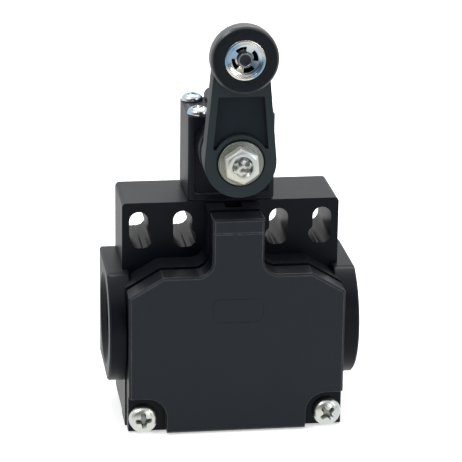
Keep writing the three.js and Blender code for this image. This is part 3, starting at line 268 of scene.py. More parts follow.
def floor_material():
    material = bpy.data.materials.new("white_floor")
    material.use_nodes = True
    tree = material.node_tree
    tree.nodes.clear()
    seen = in_order(
        add_node(tree, "ShaderNodeAddShader"),
        add_node(tree, "ShaderNodeBsdfDiffuse", Color=FLOOR_WHITE),
        add_node(tree, "ShaderNodeEmission", Strength=FLOOR_GLOW),
    )
    depth = add_node(tree, "ShaderNodeSeparateXYZ", Vector=coordinates(tree)).node.outputs["Y"]
    grey = fade(tree, depth, FLOOR_FADE, (FLOOR_FAR, FLOOR_NEAR))
    lit = add_node(tree, "ShaderNodeBsdfDiffuse", Color=grey)
    mirrored = add_node(tree, "ShaderNodeEmission", Color=grey)
    unseen = mix_shaders(tree, ray_is(tree, "Is Glossy Ray"), lit, mirrored)
    surface = mix_shaders(tree, ray_is(tree, "Is Camera Ray"), unseen, seen)
    add_node(tree, "ShaderNodeOutputMaterial", Surface=surface)
    return material


white_floor = floor_material()
print("floor material:", white_floor.name)

# %% [markdown]
# The floor itself is one large square at the height of the lowest point of the switch. It belongs to
# the picture and not to the part.

# %% Lay the floor
FLOOR_SIZE = 6.0


def make_floor():
    mesh = bpy.data.meshes.new("floor")
    half = FLOOR_SIZE / 2
    corners = [(-half, -half), (half, -half), (half, half), (-half, half)]
    mesh.from_pydata([(x, y, FLOOR_Z) for x, y in corners], [], [(0, 1, 2, 3)])
    floor = bpy.data.objects.new("floor", mesh)
    bpy.context.scene.collection.objects.link(floor)
    floor.data.materials.append(white_floor)
    return floor


floor = make_floor()
print("floor at z", round(FLOOR_Z / MM, 1), "mm")

# %% [markdown]
# ## Shared effects
# Most finishes on this switch share a few effects: the fine grain of moulded plastic, rubbed edges,
# turning marks round an axis, and settled dust. Each could be drawn again in every material, but a
# node group is built once and placed with other values, as one texture roller serves many moulds.

# %% A small kit for shader groups
FLOAT = "NodeSocketFloat"


def new_group(name, inputs, outputs):
    """A shader group whose inputs and outputs are numbers, the inputs with their usual values."""
    tree = bpy.data.node_groups.new(name, "ShaderNodeTree")
    for label, value in inputs.items():
        socket = tree.interface.new_socket(label, in_out="INPUT", socket_type=FLOAT)
        socket.default_value = value
    for label in outputs:
        tree.interface.new_socket(label, in_out="OUTPUT", socket_type=FLOAT)
    given = tree.nodes.new("NodeGroupInput").outputs
    return tree, given, tree.nodes.new("NodeGroupOutput").inputs


def noise_node(tree, vector, scale, detail=3.0, roughness=0.55):
    return add_node(
        tree, "ShaderNodeTexNoise", Vector=vector, Scale=scale, Detail=detail, Roughness=roughness,
    )


def read_mark(tree, name, kind="Fac"):
    """The attribute of this name that a finished mesh carries, zero on a mesh without it."""
    return add_node(tree, "ShaderNodeAttribute", {"attribute_name": name}).node.outputs[kind]


print("group kit ready")

# %% [markdown]
# Moulded plastic copies the spark-eroded skin of its mould: a fine, even grain about a tenth of a
# millimetre across. A noise texture at that scale gives the bumps, and a slow one gives the faint
# clouds of gloss that large flat mouldings have.

# %% Group: moulded grain


def grain_group():
    tree, given, result = new_group(
        "moulded grain", {"Grain Scale": 7000.0, "Cloud Scale": 120.0}, ["Height", "Clouds"],
    )
    where = coordinates(tree)
    link(tree, noise_node(tree, where, given["Grain Scale"], detail=2.0), result["Height"])
    link(tree, noise_node(tree, where, given["Cloud Scale"], detail=1.0), result["Clouds"])
    return tree


GRAIN = grain_group()
print("group:", GRAIN.name)

# %% [markdown]
# Edges of a handled plastic part are rubbed a little paler, and the same paler edge tone also draws
# thin light lines along rounded edges, so it is partly wear and partly a painted highlight. The shader
# could look for edges itself, but that works in one renderer only. Here each moulded mesh carries an
# attribute named edge, which is near one on its narrow rounded edges and zero on its flats, and the
# group breaks it up with noise.

# %% Group: rubbed edges with a painted highlight
PATCH_GAIN = 1.6
PATCH_START = -0.3


def rub_and_highlight_group():
    tree, given, result = new_group(
        "rubbed and highlit edges", {"Amount": 0.5, "Break Scale": 900.0}, ["Mask"],
    )
    broken = noise_node(tree, coordinates(tree), given["Break Scale"], detail=4.0)
    patchy = math_node(tree, "MULTIPLY_ADD", broken, PATCH_GAIN, PATCH_START, use_clamp=True)
    rubbed_and_highlit = math_node(tree, "MULTIPLY", read_mark(tree, "edge"), patchy)
    mask = math_node(tree, "MULTIPLY", rubbed_and_highlit, given["Amount"], use_clamp=True)
    link(tree, mask, result["Mask"])
    return tree


RUB_AND_HIGHLIGHT = rub_and_highlight_group()
print("group:", RUB_AND_HIGHLIGHT.name)

# %% [markdown]
# Turned and rolled metal has fine rings round its axis. Each turned mesh carries an attribute named
# centre, the point that its axis runs through, front to back. The group measures the distance from
# that axis and turns it into rings of uneven strength, so that washer, bolt and hub catch the light
# in arcs.

# %% Group: turning rings
ACROSS = (1, 0, 1)
STREAK_SCALE = 0.15


def ring_group():
    tree, given, result = new_group(
        "turning rings", {"Rings per Metre": 9000.0}, ["Height", "Streaks"],
    )
    centre = read_mark(tree, "centre", "Vector")
    offset = vector_node(tree, "SUBTRACT", coordinates(tree), centre)
    reach = vector_node(tree, "LENGTH", vector_node(tree, "MULTIPLY", offset, ACROSS))
    rings = math_node(tree, "MULTIPLY", reach.node.outputs["Value"], given["Rings per Metre"])
    line = add_node(tree, "ShaderNodeCombineXYZ", X=rings)
    link(tree, noise_node(tree, line, 1.0, detail=2.0), result["Height"])
    link(tree, noise_node(tree, line, STREAK_SCALE, detail=3.0), result["Streaks"])
    return tree


RINGS = ring_group()
print("group:", RINGS.name)

# %% [markdown]
# A little dust settles on faces that look up. The direction is the surface's own, so that the dust
# stays where it fell when the lever swings.

# %% Group: settled dust
DUST_SLOPE = 0.4


def dust_group():
    tree, given, result = new_group(
        "settled dust", {"Amount": 0.3, "Speck Scale": 2500.0}, ["Mask"],
    )
    split = add_node(tree, "ShaderNodeSeparateXYZ", Vector=coordinates(tree, "Normal")).node
    upward = math_node(tree, "SUBTRACT", split.outputs["Z"], DUST_SLOPE, use_clamp=True)
    scale = given["Speck Scale"]
    specks = noise_node(tree, coordinates(tree), scale, detail=5.0, roughness=0.7)
    lying = math_node(tree, "MULTIPLY", upward, specks)
    mask = math_node(tree, "MULTIPLY", lying, given["Amount"], use_clamp=True)
    link(tree, mask, result["Mask"])
    return tree


DUST = dust_group()
print("group:", DUST.name)

# %% [markdown]
# ## Materials
# Each finish is one material, named as the frame's own list of finishes names it. They differ in
# colour and gloss and share the groups above, so the helpers that wire them come first.

# %% Material helpers
MATERIALS = {}


def blank_material(name):
    material = bpy.data.materials.new(name)
    material.use_nodes = True
    MATERIALS[name] = material
    return material.node_tree, material.node_tree.nodes["Principled BSDF"].inputs


def place_group(tree, group, **values):
    """The outputs of a group that is placed in the tree with its own values."""
    node = add_node(tree, "ShaderNodeGroup", {"node_tree": group}, **values).node
    return node.outputs


def blend_colour(tree, factor, first, second):
    """The first colour where the factor is zero, the second where it is one."""
    first, second = [(*end, 1.0) if isinstance(end, tuple) else end for end in (first, second)]
    mix = add_node(tree, "ShaderNodeMix", {"data_type": "RGBA"}, Factor=factor, A=first, B=second)
    return mix.node.outputs["Result"]


def spread(tree, value, low, high):
    return add_node(tree, "ShaderNodeMapRange", Value=value, To_Min=low, To_Max=high)


def bump(tree, height, strength, distance):
    return add_node(tree, "ShaderNodeBump", Height=height, Strength=strength, Distance=distance)


print("material helpers ready")

# %% [markdown]
# A moulded plastic is never one flat colour. The grain gives it bump and uneven gloss, its edges are
# rubbed and carry a painted highlight, and some dust lies on top. Where the attribute named skin is
# one, the plastic takes a paler and rougher tone: on the tyre's tread that is scuffing, on the cover's
# front it is partly a coarser mould skin and partly painted light, and on the lever it is painted
# light, so that its sunk web stays darker as painted shade. Where the attribute named shine is above
# zero, a coat adds the gloss of a tread that rolling has burnished.

# %% Moulded plastics
DUST_COLOUR = (0.30, 0.30, 0.29)
COARSE_ROUGHNESS = 0.13
PLASTIC_SPECULAR = 0.14
CLOUD_SHARE = 0.10
CLOUD_LIFT = 1.6
GRAIN_DEPTH = 0.03 * MM
SHINE_ROUGHNESS = 0.22
SHINE_IOR = 2.8


def moulded_plastic(
    name, colour, rubbed_and_highlit, paler_tone=None, gloss=(0.33, 0.40), relief=0.12, dust=0.10, rub_and_highlight=0.35,
):
    """colour is the plain tone, and the second colour the paler tone where the attribute named skin is
    one: on the tyre a scuffed skin, on the cover's front partly a coarser skin and partly painted
    light, on the lever painted light.
    """
    tree, shader = blank_material(name)
    grain = place_group(tree, GRAIN)
    skin = read_mark(tree, "skin")
    cloudy = math_node(tree, "MULTIPLY", grain["Clouds"], CLOUD_SHARE)
    tone = blend_colour(tree, skin, colour, paler_tone or colour)
    tone = blend_colour(tree, cloudy, tone, tuple(CLOUD_LIFT * c for c in colour))
    # The paler edge tone blended in here is partly wear and partly a painted highlight.
    tone = blend_colour(tree, place_group(tree, RUB_AND_HIGHLIGHT, Amount=rub_and_highlight)["Mask"], tone, rubbed_and_highlit)
    tone = blend_colour(tree, place_group(tree, DUST, Amount=dust)["Mask"], tone, DUST_COLOUR)
    link(tree, tone, shader["Base Color"])
    even = spread(tree, grain["Clouds"], *gloss)
    rough = math_node(tree, "MULTIPLY_ADD", skin, COARSE_ROUGHNESS, even)
    link(tree, rough, shader["Roughness"])
    link(tree, bump(tree, grain["Height"], relief, GRAIN_DEPTH), shader["Normal"])
    link(tree, read_mark(tree, "shine"), shader["Coat Weight"])
    shader["Coat Roughness"].default_value = SHINE_ROUGHNESS
    shader["Coat IOR"].default_value = SHINE_IOR
    shader["Specular IOR Level"].default_value = PLASTIC_SPECULAR


# The housing plastic's paler tone is used on the cover's front, partly a coarser skin and partly
# painted light, and its pale edges are partly wear and partly a painted highlight.
moulded_plastic(
    "housing_plastic", (0.0018, 0.0034, 0.0070), (0.12, 0.125, 0.13),
    paler_tone=(0.0155, 0.0190, 0.0250), relief=0.07, rub_and_highlight=0.9,
)
# On the lever the paler tone of the front faces is painted light: the sunk web keeps the darker tone
# as painted shade.
moulded_plastic(
    "lever_plastic", (0.0046, 0.0100, 0.0150), (0.07, 0.08, 0.085),
    paler_tone=(0.0200, 0.0285, 0.0320), gloss=(0.34, 0.46), relief=0.06,
)
moulded_plastic(
    "tyre_plastic", (0.0020, 0.0050, 0.0078), (0.08, 0.085, 0.09),
    paler_tone=(0.040, 0.042, 0.045), gloss=(0.34, 0.42), relief=0.05, rub_and_highlight=0.25,
)
moulded_plastic("carrier_plastic", (0.26, 0.28, 0.27), (0.4, 0.42, 0.4), dust=0.0)
moulded_plastic("slide_plastic", (0.7, 0.68, 0.6), (0.8, 0.78, 0.7), dust=0.0)
print("plastics:", sorted(MATERIALS))

# %% [markdown]
# Zinc plate is bright but never even. Its thin yellowish and bluish films come from the passivation
# bath, so the colour drifts slowly between a warm and a cool tint. The attribute named skin shifts the
# tint further; it is used on the hub only, where it is a painted reflection. Where the attribute named
# pit is above zero, the colour goes towards a dark one: on the washer and in the rivet's dish this is
# painted shade, in the bolt's dimple partly dirt and partly painted shade and dark reflection, and in
# the screws' recesses it simply darkens them. Sheared faces, which have the attribute named dull, are
# rougher than struck ones. Steel, bronze and silver inside the switch are plainer. All of them are
# metals, so their colour sits in the reflection.

# %% Metals
# The dark colour that the attribute named pit blends towards: in places dirt, in places painted shade.
DIRT_AND_SHADE_COLOUR = (0.095, 0.100, 0.082)
DULL_ROUGHNESS = 0.35
FILM_SWING = (-0.9, 1.9)
RING_DEPTH = 0.02 * MM
RING_RELIEF = 0.05


def plated_metal(name, warm, cool, gloss, pit=DIRT_AND_SHADE_COLOUR, tint_scale=160.0):
    """warm and cool are the two tints of the film, pit the dark colour that the attribute named pit
    blends towards: in places dirt, in places painted shade.
    """
    tree, shader = blank_material(name)
    rings = place_group(tree, RINGS)
    film = place_group(tree, GRAIN, Cloud_Scale=tint_scale)
    swing = spread(tree, film["Clouds"], *FILM_SWING)
    shade = math_node(tree, "ADD", swing, read_mark(tree, "skin"), use_clamp=True)
    tone = blend_colour(tree, read_mark(tree, "pit"), blend_colour(tree, shade, warm, cool), pit)
    link(tree, tone, shader["Base Color"])
    even = spread(tree, rings["Streaks"], *gloss)
    rough = math_node(tree, "MULTIPLY_ADD", read_mark(tree, "dull"), DULL_ROUGHNESS, even)
    link(tree, rough, shader["Roughness"])
    link(tree, bump(tree, rings["Height"], RING_RELIEF, RING_DEPTH), shader["Normal"])
    shader["Metallic"].default_value = 1.0


plated_metal("zinc", (0.75, 0.75, 0.65), (0.61, 0.66, 0.66), (0.24, 0.40))
plated_metal("zinc_blue", (0.84, 0.84, 0.76), (0.28, 0.42, 0.55), (0.12, 0.28), tint_scale=240.0)
plated_metal("steel", (0.45, 0.45, 0.44), (0.38, 0.40, 0.42), (0.22, 0.4))
# This steel's dark second colour is the painted shade in the rivet's dish.
plated_metal(
    "dark_steel", (0.26, 0.26, 0.28), (0.18, 0.19, 0.21), (0.28, 0.45), pit=(0.035, 0.038, 0.048),
)
plated_metal("bronze", (0.5, 0.33, 0.15), (0.42, 0.27, 0.11), (0.25, 0.4))
plated_metal("silver", (0.82, 0.8, 0.74), (0.75, 0.74, 0.7), (0.15, 0.3))
print("materials so far:", len(MATERIALS))

# %% [markdown]
# The seals are soft rubber: nearly black, dull and without rubbed edges, so the grain alone is
# enough.

# %% Rubber
RUBBER_GLOSS = (0.75, 0.9)
RUBBER_RELIEF = 0.2
RUBBER_DEPTH = 0.04 * MM


def soft_rubber(name, colour, paler):
    tree, shader = blank_material(name)
    skin = place_group(tree, GRAIN, Grain_Scale=5000.0, Cloud_Scale=300.0)
    link(tree, blend_colour(tree, skin["Clouds"], colour, paler), shader["Base Color"])
    link(tree, spread(tree, skin["Clouds"], *RUBBER_GLOSS), shader["Roughness"])
    link(tree, bump(tree, skin["Height"], RUBBER_RELIEF, RUBBER_DEPTH), shader["Normal"])


soft_rubber("rubber", (0.009, 0.009, 0.009), (0.018, 0.018, 0.018))
print("materials:", sorted(MATERIALS))

# %% [markdown]
# ## Dressing the frame's own nodes
# Every node of the frame gets the material of its slot. Most inner pieces keep their own mesh, as
# they are seen only when the switch is taken apart.

# %% Give each node its finish
NODE_SLOTS = {}


def give_slot(slot, *nodes):
    for name in nodes:
        NODE_SLOTS[name] = slot


SIDES = ("left", "right")
LEVELS = ("nc", "no")
give_slot("housing_plastic", "housing", "cover", "actuator_head")
give_slot("rubber", "cover_seal", "head_gasket", "shaft_seal")
give_slot("lever_plastic", "lever_arm")
give_slot("tyre_plastic", "roller_tyre")
give_slot("zinc", "lever_washer", "lever_bolt", "roller_hub")
give_slot("dark_steel", "roller_pin")
give_slot("steel", "lever_shaft", "return_spring", "contact_spring")
give_slot("bronze", "shaft_bush", "plunger_guide")
give_slot("carrier_plastic", "contact_carrier")
give_slot("slide_plastic", "head_plunger", "contact_plunger")
give_slot("silver", "bridge_nc", "bridge_no")
for side in SIDES:
    give_slot("zinc", f"cover_screw_{side}", f"carrier_screw_{side}")
    give_slot("zinc", f"head_screw_front_{side}", f"head_screw_rear_{side}")
    for level in LEVELS:
        give_slot("bronze", f"terminal_strip_{level}_{side}")
        give_slot("zinc", f"terminal_clamp_{level}_{side}")
        give_slot("steel", f"terminal_screw_{level}_{side}")


def dress_nodes():
    for name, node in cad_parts.items():
        node.data.materials.clear()
        node.data.materials.append(MATERIALS[NODE_SLOTS[name]])
    return len(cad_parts)


print("dressed", dress_nodes(), "nodes")

# %% [markdown]
# ## Tools for finer pieces
# A piece that shows gets a new mesh in the place of its node. Three ways are used: a copy of the
# node with softened edges, a turned profile, and an outline drawn out along Y. Every finished piece
# lies with its object at the origin and its place in its vertices.

# %% Mesh helpers
SAME_PLACE = 0.002 * MM
SAME_FLAT = math.radians(0.5)


def new_piece(name, mesh):
    piece = bpy.data.objects.new(name, mesh)
    bpy.context.scene.collection.objects.link(piece)
    return piece


def from_bmesh(name, source):
    mesh = bpy.data.meshes.new(name)
    source.to_mesh(mesh)
    source.free()
    return new_piece(name, mesh)


def flatten(piece):
    """Turns the piece with its modifiers into one plain mesh."""
    bpy.context.view_layer.update()
    evaluated = piece.evaluated_get(bpy.context.evaluated_depsgraph_get())
    mesh = bpy.data.meshes.new_from_object(evaluated)
    piece.modifiers.clear()
    piece.data = mesh
    return piece


def merge_flat_faces(source):
    bmesh.ops.remove_doubles(source, verts=source.verts, dist=SAME_PLACE)
    bmesh.ops.dissolve_limit(
        source, angle_limit=SAME_FLAT, verts=source.verts, edges=source.edges,
    )


def merged_copy(node, name):
    source = bmesh.new()
    source.from_mesh(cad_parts[node].data)
    merge_flat_faces(source)
    return from_bmesh(name, source)


def tidy_faces(piece):
    source = bmesh.new()
    source.from_mesh(piece.data)
    merge_flat_faces(source)
    source.to_mesh(piece.data)
    source.free()
    return piece


print("mesh helpers ready")

# %% [markdown]
# A turned piece starts as a profile: pairs of radius and place along the axis. Real turned and
# pressed edges are never sharp, so the profile's corners are rounded first, each by a short curve
# that is as wide as its neighbours allow.

# %% Rounded profiles
ON_AXIS = 1e-9
NEIGHBOUR_SHARE = 0.45


def rounded_profile(profile, radius, steps=4):
    """The closed profile with a short curve in place of each corner that lies off the axis."""
    rounded = []
    count = len(profile)
    for i, (r, y) in enumerate(profile):
        if r < ON_AXIS:
            rounded.append((r, y))
            continue
        here = Vector((r, y))
        before, after = Vector(profile[i - 1]) - here, Vector(profile[(i + 1) % count]) - here
        reach = min(radius, NEIGHBOUR_SHARE * before.length, NEIGHBOUR_SHARE * after.length)
        start, end = here + before.normalized() * reach, here + after.normalized() * reach
        for step in range(steps + 1):
            u = step / steps
            rounded.append(tuple((1 - u) ** 2 * start + 2 * u * (1 - u) * here + u ** 2 * end))
    return rounded


square = rounded_profile([(0, 0), (1, 0), (1, 1), (0, 1)], 0.1)
print("two corners off the axis become", len(square) - 2, "points")

# %% [markdown]
# The rounded profile is then spun round the axis. A screw modifier could do it too, but it may leave
# doubled points on the axis, so the rings of points are set here and closed with faces.

# %% Profiles spun round an axis


def ring_of_points(source, radius, y, centre, steps):
    if radius < ON_AXIS:
        return [source.verts.new((centre.x, y, centre.z))]
    turns = [2 * math.pi * step / steps for step in range(steps)]
    return [
        source.verts.new((centre.x + radius * math.cos(a), y, centre.z + radius * math.sin(a)))
        for a in turns
    ]


def turned(name, profile, centre, steps=128):
    """Spins (radius, y) pairs round the Y axis at centre; the profile closes on the axis or itself."""
    source = bmesh.new()
    rings = [ring_of_points(source, radius, y, centre, steps) for radius, y in profile]
    pairs = list(zip(rings, rings[1:]))
    if len(rings[0]) > 1:
        pairs.append((rings[-1], rings[0]))
    for first, second in pairs:
        for step in range(steps):
            after = (step + 1) % steps
            corners = [first[step % len(first)], second[step % len(second)]]
            corners += [second[after % len(second)], first[after % len(first)]]
            corners = list(dict.fromkeys(corners))
            if len(corners) > 2:
                source.faces.new(corners)
    bmesh.ops.recalc_face_normals(source, faces=source.faces)
    return from_bmesh(name, source)


print("turning ready")

# %% [markdown]
# The other pieces start as outlines drawn in X and Z and pulled out from back to front. Cuts and
# joins between them are booleans, as a mould maker adds and sinks simple bodies.

# %% Drawn outlines, cuts and joins


def drawn(name, outline, back, front):
    """A closed outline of (x, z) points drawn out from y = back to y = front."""
    source = bmesh.new()
    rear = [source.verts.new((x, back, z)) for x, z in outline]
    face = [source.verts.new((x, front, z)) for x, z in outline]
    source.faces.new(rear)
    source.faces.new(face)
    count = len(outline)
    for i in range(count):
        j = (i + 1) % count
        source.faces.new((rear[i], rear[j], face[j], face[i]))
    bmesh.ops.recalc_face_normals(source, faces=source.faces)
    return from_bmesh(name, source)


def combine(piece, tools, operation="DIFFERENCE"):
    """Cuts the tools from the piece, or joins them to it, and removes the tools."""
    for tool in tools:
        change = piece.modifiers.new("change", "BOOLEAN")
        change.operation = operation
        change.solver = "EXACT"
        change.object = tool
    flatten(piece)
    for tool in tools:
        bpy.data.objects.remove(tool)
    return piece


print("outline tools ready")

# %% [markdown]
# The last steps are alike for every piece: its sharp edges get a small radius, its vertices get the
# values that the materials read, and its shading is smoothed so that flats stay flat.

# %% Soften edges


def soften(piece, width, segments=3, from_angle=28):
    """Rounds every edge that is sharper than from_angle, as a mould or a file does."""
    rounding = piece.modifiers.new("rounding", "BEVEL")
    rounding.width = width
    rounding.segments = segments
    rounding.limit_method = "ANGLE"
    rounding.angle_limit = math.radians(from_angle)
    rounding.use_clamp_overlap = True
    rounding.miter_outer = "MITER_ARC"
    return flatten(piece)


print("edge rounding ready")

# %% Mark vertices for the materials
NARROW = 0.10 * MM


def mark_edges(piece, full_at=25):
    """Writes the edge attribute: how far the faces round a vertex turn, where all of them are narrow.

    A vertex that also belongs to a flat stays at zero, or the whole flat would count as an edge.
    """
    source = bmesh.new()
    source.from_mesh(piece.data)
    layer = source.verts.layers.float.new("edge")
    narrow = [face.calc_area() < NARROW * face.calc_perimeter() for face in source.faces]
    for vertex in source.verts:
        turns = [e.calc_face_angle(0.0) for e in vertex.link_edges if len(e.link_faces) == 2]
        if all(narrow[face.index] for face in vertex.link_faces):
            vertex[layer] = min(1.0, math.degrees(max(turns, default=0.0)) / full_at)
    source.to_mesh(piece.data)
    source.free()
    return piece


def mark_value(piece, name, value):
    """Writes one attribute from a number, or from a function of the vertex's place."""
    layer = piece.data.attributes.new(name, "FLOAT", "POINT")
    for vertex, entry in zip(piece.data.vertices, layer.data):
        entry.value = value(vertex.co) if callable(value) else value
    return piece


def mark_centre(piece, centre):
    layer = piece.data.attributes.new("centre", "FLOAT_VECTOR", "POINT")
    for entry in layer.data:
        entry.vector = centre
    return piece


print("marks ready")

# %% Smooth and settle
FLATS_WEIGH = 80
FINISHED = []


def smooth(piece, sharp_at=42):
    piece.data.shade_smooth()
    piece.data.set_sharp_from_angle(angle=math.radians(sharp_at))
    weigh = piece.modifiers.new("weighted", "WEIGHTED_NORMAL")
    weigh.keep_sharp = True
    weigh.weight = FLATS_WEIGH
    return flatten(piece)


def settle(piece, body, slot, *nodes, finish=None):
    """Gives a finished piece its material, ties it to its body and hides the nodes it stands for."""
    piece.data.materials.clear()
    piece.data.materials.append(MATERIALS[finish or slot])
    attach(piece, body)
    if nodes:
        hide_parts(*nodes)
    triangles = sum(len(p.vertices) - 2 for p in piece.data.polygons)
    FINISHED.append((piece.name, triangles))
    print(piece.name, "rides on", body, "with", triangles, "triangles")
    return piece


print("ready to build the finer pieces")

# %% [markdown]
# ## Housing, cover and head
# These three are injection mouldings. A mould can't have perfectly sharp corners, so every outer edge
# has a small radius, and that radius, together with the painted highlight along the rubbed edges, is
# what draws the thin light lines in the photograph. The shapes themselves are right in the frame, so
# each piece is a merged copy of its node with its sharp edges rounded. The front of the cover gets a
# paler tone: partly a coarser mould skin, partly painted light, while its top keeps the darker tone as
# painted shade.

# %% Soften housing and head
MOULD_RADIUS = {"housing": 0.22 * MM, "cover": 0.16 * MM, "actuator_head": 0.25 * MM}
PALER_FRONT_DEPTH = 0.3 * MM

cover_low, cover_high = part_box("cover")


def paler_front(place):
    """The cover has the paler tone on its front face only: partly a coarser mould skin, partly painted
    light, as its top keeps the darker tone as painted shade.
    """
    return float(place.y < cover_low.y + PALER_FRONT_DEPTH)


SKINS = {"housing": 0.0, "cover": paler_front, "actuator_head": 0.2}


def softened_moulding(node, cuts=()):
    shell = merged_copy(node, f"{node}_moulding")
    soften(shell, MOULD_RADIUS[node])
    if cuts:
        combine(shell, cuts)
    mark_edges(shell)
    mark_value(shell, "skin", SKINS[node])
    return smooth(shell)


settle(softened_moulding("housing"), "base", "housing_plastic", "housing")
settle(softened_moulding("actuator_head"), "base", "housing_plastic", "actuator_head")

# %% [markdown]
# The cover also has a faint frame below its neck: a rounded rectangle left by an insert in the
# mould. Its line is less than a tenth of a millimetre deep, so it is cut after the edges are
# rounded, because a rounding can't be wider than the smallest step in its mesh.

# %% Cover with its insert line
INSERT_SIZE = (11.8 * MM, 5.8 * MM)
INSERT_CORNER = 2.0 * MM
INSERT_LINE = 0.3 * MM
INSERT_DEPTH = 0.06 * MM
INSERT_DROP = 21.4 * MM


def rounded_rectangle(middle_z, width, height, radius, steps=6):
    points = []
    for quarter, (side_x, side_z) in enumerate(((1, 1), (-1, 1), (-1, -1), (1, -1))):
        for step in range(steps + 1):
            angle = math.pi / 2 * (quarter + step / steps)
            x = side_x * (width / 2 - radius) + radius * math.cos(angle)
            points.append((x, middle_z + side_z * (height / 2 - radius) + radius * math.sin(angle)))
    return points


def insert_line():
    middle_z = cover_high.z - INSERT_DROP
    inner_size = [side - 2 * INSERT_LINE for side in INSERT_SIZE]
    outer = rounded_rectangle(middle_z, *INSERT_SIZE, INSERT_CORNER)
    inner = rounded_rectangle(middle_z, *inner_size, INSERT_CORNER - INSERT_LINE)
    floor_y, clear_y = cover_low.y + INSERT_DEPTH, cover_low.y - INSERT_DEPTH
    ring = drawn("insert_ring", outer, floor_y, clear_y)
    return combine(ring, [drawn("insert_core", inner, cover_low.y + MM, cover_low.y - MM)])


settle(softened_moulding("cover", [insert_line()]), "base", "housing_plastic", "cover")

# %% [markdown]
# ## Lever arm
# The lever is one glass-filled moulding: two rounds joined by straight sides, sunk in front between
# a rim and a ring round the bolt, with a pocket behind and a thick round boss on the shaft. It could
# be a softened copy too, but its long outline shows every facet, so it is drawn again with finer
# arcs. Its outside radii, its reach and its place in depth come from the frame.

# %% Lever measures
ARM_THICKNESS = 5.0 * MM
REAR_BOSS_R = 7.7 * MM
LEVER_RIM = 1.6 * MM
RECESS_DEPTH = 1.2 * MM
RECESS_RING_R = 6.2 * MM
RECESS_FOOT = 3.0 * MM
RECESS_HEAD = 14.9 * MM
POCKET_DEPTH = 2.0 * MM
SEAT_R = 5.4 * MM
SEAT_DEPTH = 0.5 * MM
LEVER_FACE = 2.4 * MM
BOLT_HOLE_R = 2.8 * MM
SHAFT_BORE_R = 4.15 * MM
SHAFT_FLAT = 3.35 * MM
LEVER_SOFTNESS = 0.18 * MM
PAST = 1.0 * MM

lever_low, lever_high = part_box("lever_arm")
LEVER_FRONT, LEVER_BACK = lever_low.y, lever_high.y
ARM_BACK = LEVER_FRONT + ARM_THICKNESS
BOSS_R = (lever_high.x - lever_low.x) / 2
TIP_R = lever_high.z - ROLLER_AXIS.z
REACH = ROLLER_AXIS.z - LEVER_AXIS.z
print("lever boss", round(BOSS_R / MM, 2), "mm, tip", round(TIP_R / MM, 2), "mm")
print("lever reach", round(REACH / MM, 2), "mm")

# %% [markdown]
# Every outline of the lever is made of arcs: two of them and the straight lines between their ends
# give the lever, and the same outline with smaller radii gives the inside of its rim.

# %% Outlines of the lever


def arc_points(centre_z, radius, start, end, steps):
    """Points on an arc in X and Z round a centre on the lever's line, angles in radians."""
    angles = [start + (end - start) * step / steps for step in range(steps + 1)]
    return [(radius * math.cos(a), centre_z + radius * math.sin(a)) for a in angles]


def lever_outline(inset, steps=64):
    big, small = BOSS_R - inset, TIP_R - inset
    lean = math.asin((big - small) / REACH)
    lower = arc_points(LEVER_AXIS.z, big, math.pi - lean, 2 * math.pi + lean, steps)
    return lower + arc_points(ROLLER_AXIS.z, small, lean, math.pi - lean, steps)


def round_outline(radius, steps=96):
    return arc_points(LEVER_AXIS.z, radius, 0, 2 * math.pi, steps)[:-1]


print("lever outline:", len(lever_outline(0)), "points")

# %% [markdown]
# The arm starts solid and gets its rear boss. Then the front recess, the pocket behind, the seat of
# the washer, the bore with its two flats and the bolt's hole are cut in one go, and the edges are
# softened last, when all of them are there.

# %% Build the lever arm


def lever_recess(name, ring_r, back, front):
    """The inside outline of the lever from foot to head, cut clear of a ring round the shaft."""
    space = drawn(name, lever_outline(LEVER_RIM), back, front)
    foot, head = LEVER_AXIS.z + RECESS_FOOT, LEVER_AXIS.z + RECESS_HEAD
    corners = [(-BOSS_R, foot), (BOSS_R, foot), (BOSS_R, head), (-BOSS_R, head)]
    combine(space, [drawn("recess_window", corners, back + PAST, front - PAST)], "INTERSECT")
    return combine(space, [drawn("recess_ring", round_outline(ring_r), back + PAST, front - PAST)])


def lever_arm():
    arm = drawn("lever_arm_moulding", lever_outline(0), ARM_BACK, LEVER_FRONT)
    boss = drawn("rear_boss", round_outline(REAR_BOSS_R), LEVER_BACK, ARM_BACK - PAST)
    combine(arm, [boss], "UNION")
    bore = [(max(-SHAFT_FLAT, min(SHAFT_FLAT, x)), z) for x, z in round_outline(SHAFT_BORE_R)]
    combine(arm, [
        lever_recess("front_recess", RECESS_RING_R, LEVER_FRONT + RECESS_DEPTH, LEVER_FRONT - PAST),
        lever_recess("back_pocket", REAR_BOSS_R + LEVER_RIM, ARM_BACK + PAST, ARM_BACK - POCKET_DEPTH),
        drawn("washer_seat", round_outline(SEAT_R), LEVER_FRONT + SEAT_DEPTH, LEVER_FRONT - PAST),
        drawn("shaft_bore", bore, LEVER_BACK + PAST, LEVER_FRONT + SEAT_DEPTH + LEVER_FACE),
        drawn("bolt_hole", round_outline(BOLT_HOLE_R), LEVER_BACK, LEVER_FRONT - PAST),
    ])
    tidy_faces(arm)
    soften(arm, LEVER_SOFTNESS)
    mark_edges(arm)
    # The front faces take the paler tone and the sunk web keeps the darker one: painted shade in the
    # recess.
    mark_value(arm, "skin", lambda place: float(place.y < LEVER_FRONT + RECESS_DEPTH / 2))
    return smooth(arm)


settle(lever_arm(), "lever", "lever_plastic", "lever_arm")

# %% [markdown]
# ## Washer and bolt
# The washer is punched from sheet, so one rim is rolled over and the other is crisp. The bolt's
# head is forged: a hexagon whose corners are cut back by a cone, with a round dimple in its face
# from the die. Cutting a turned body with a hexagonal prism makes the same curved facet lines as on
# the real head. It is drawn a little lower and narrower than its node, as the photograph shows it.

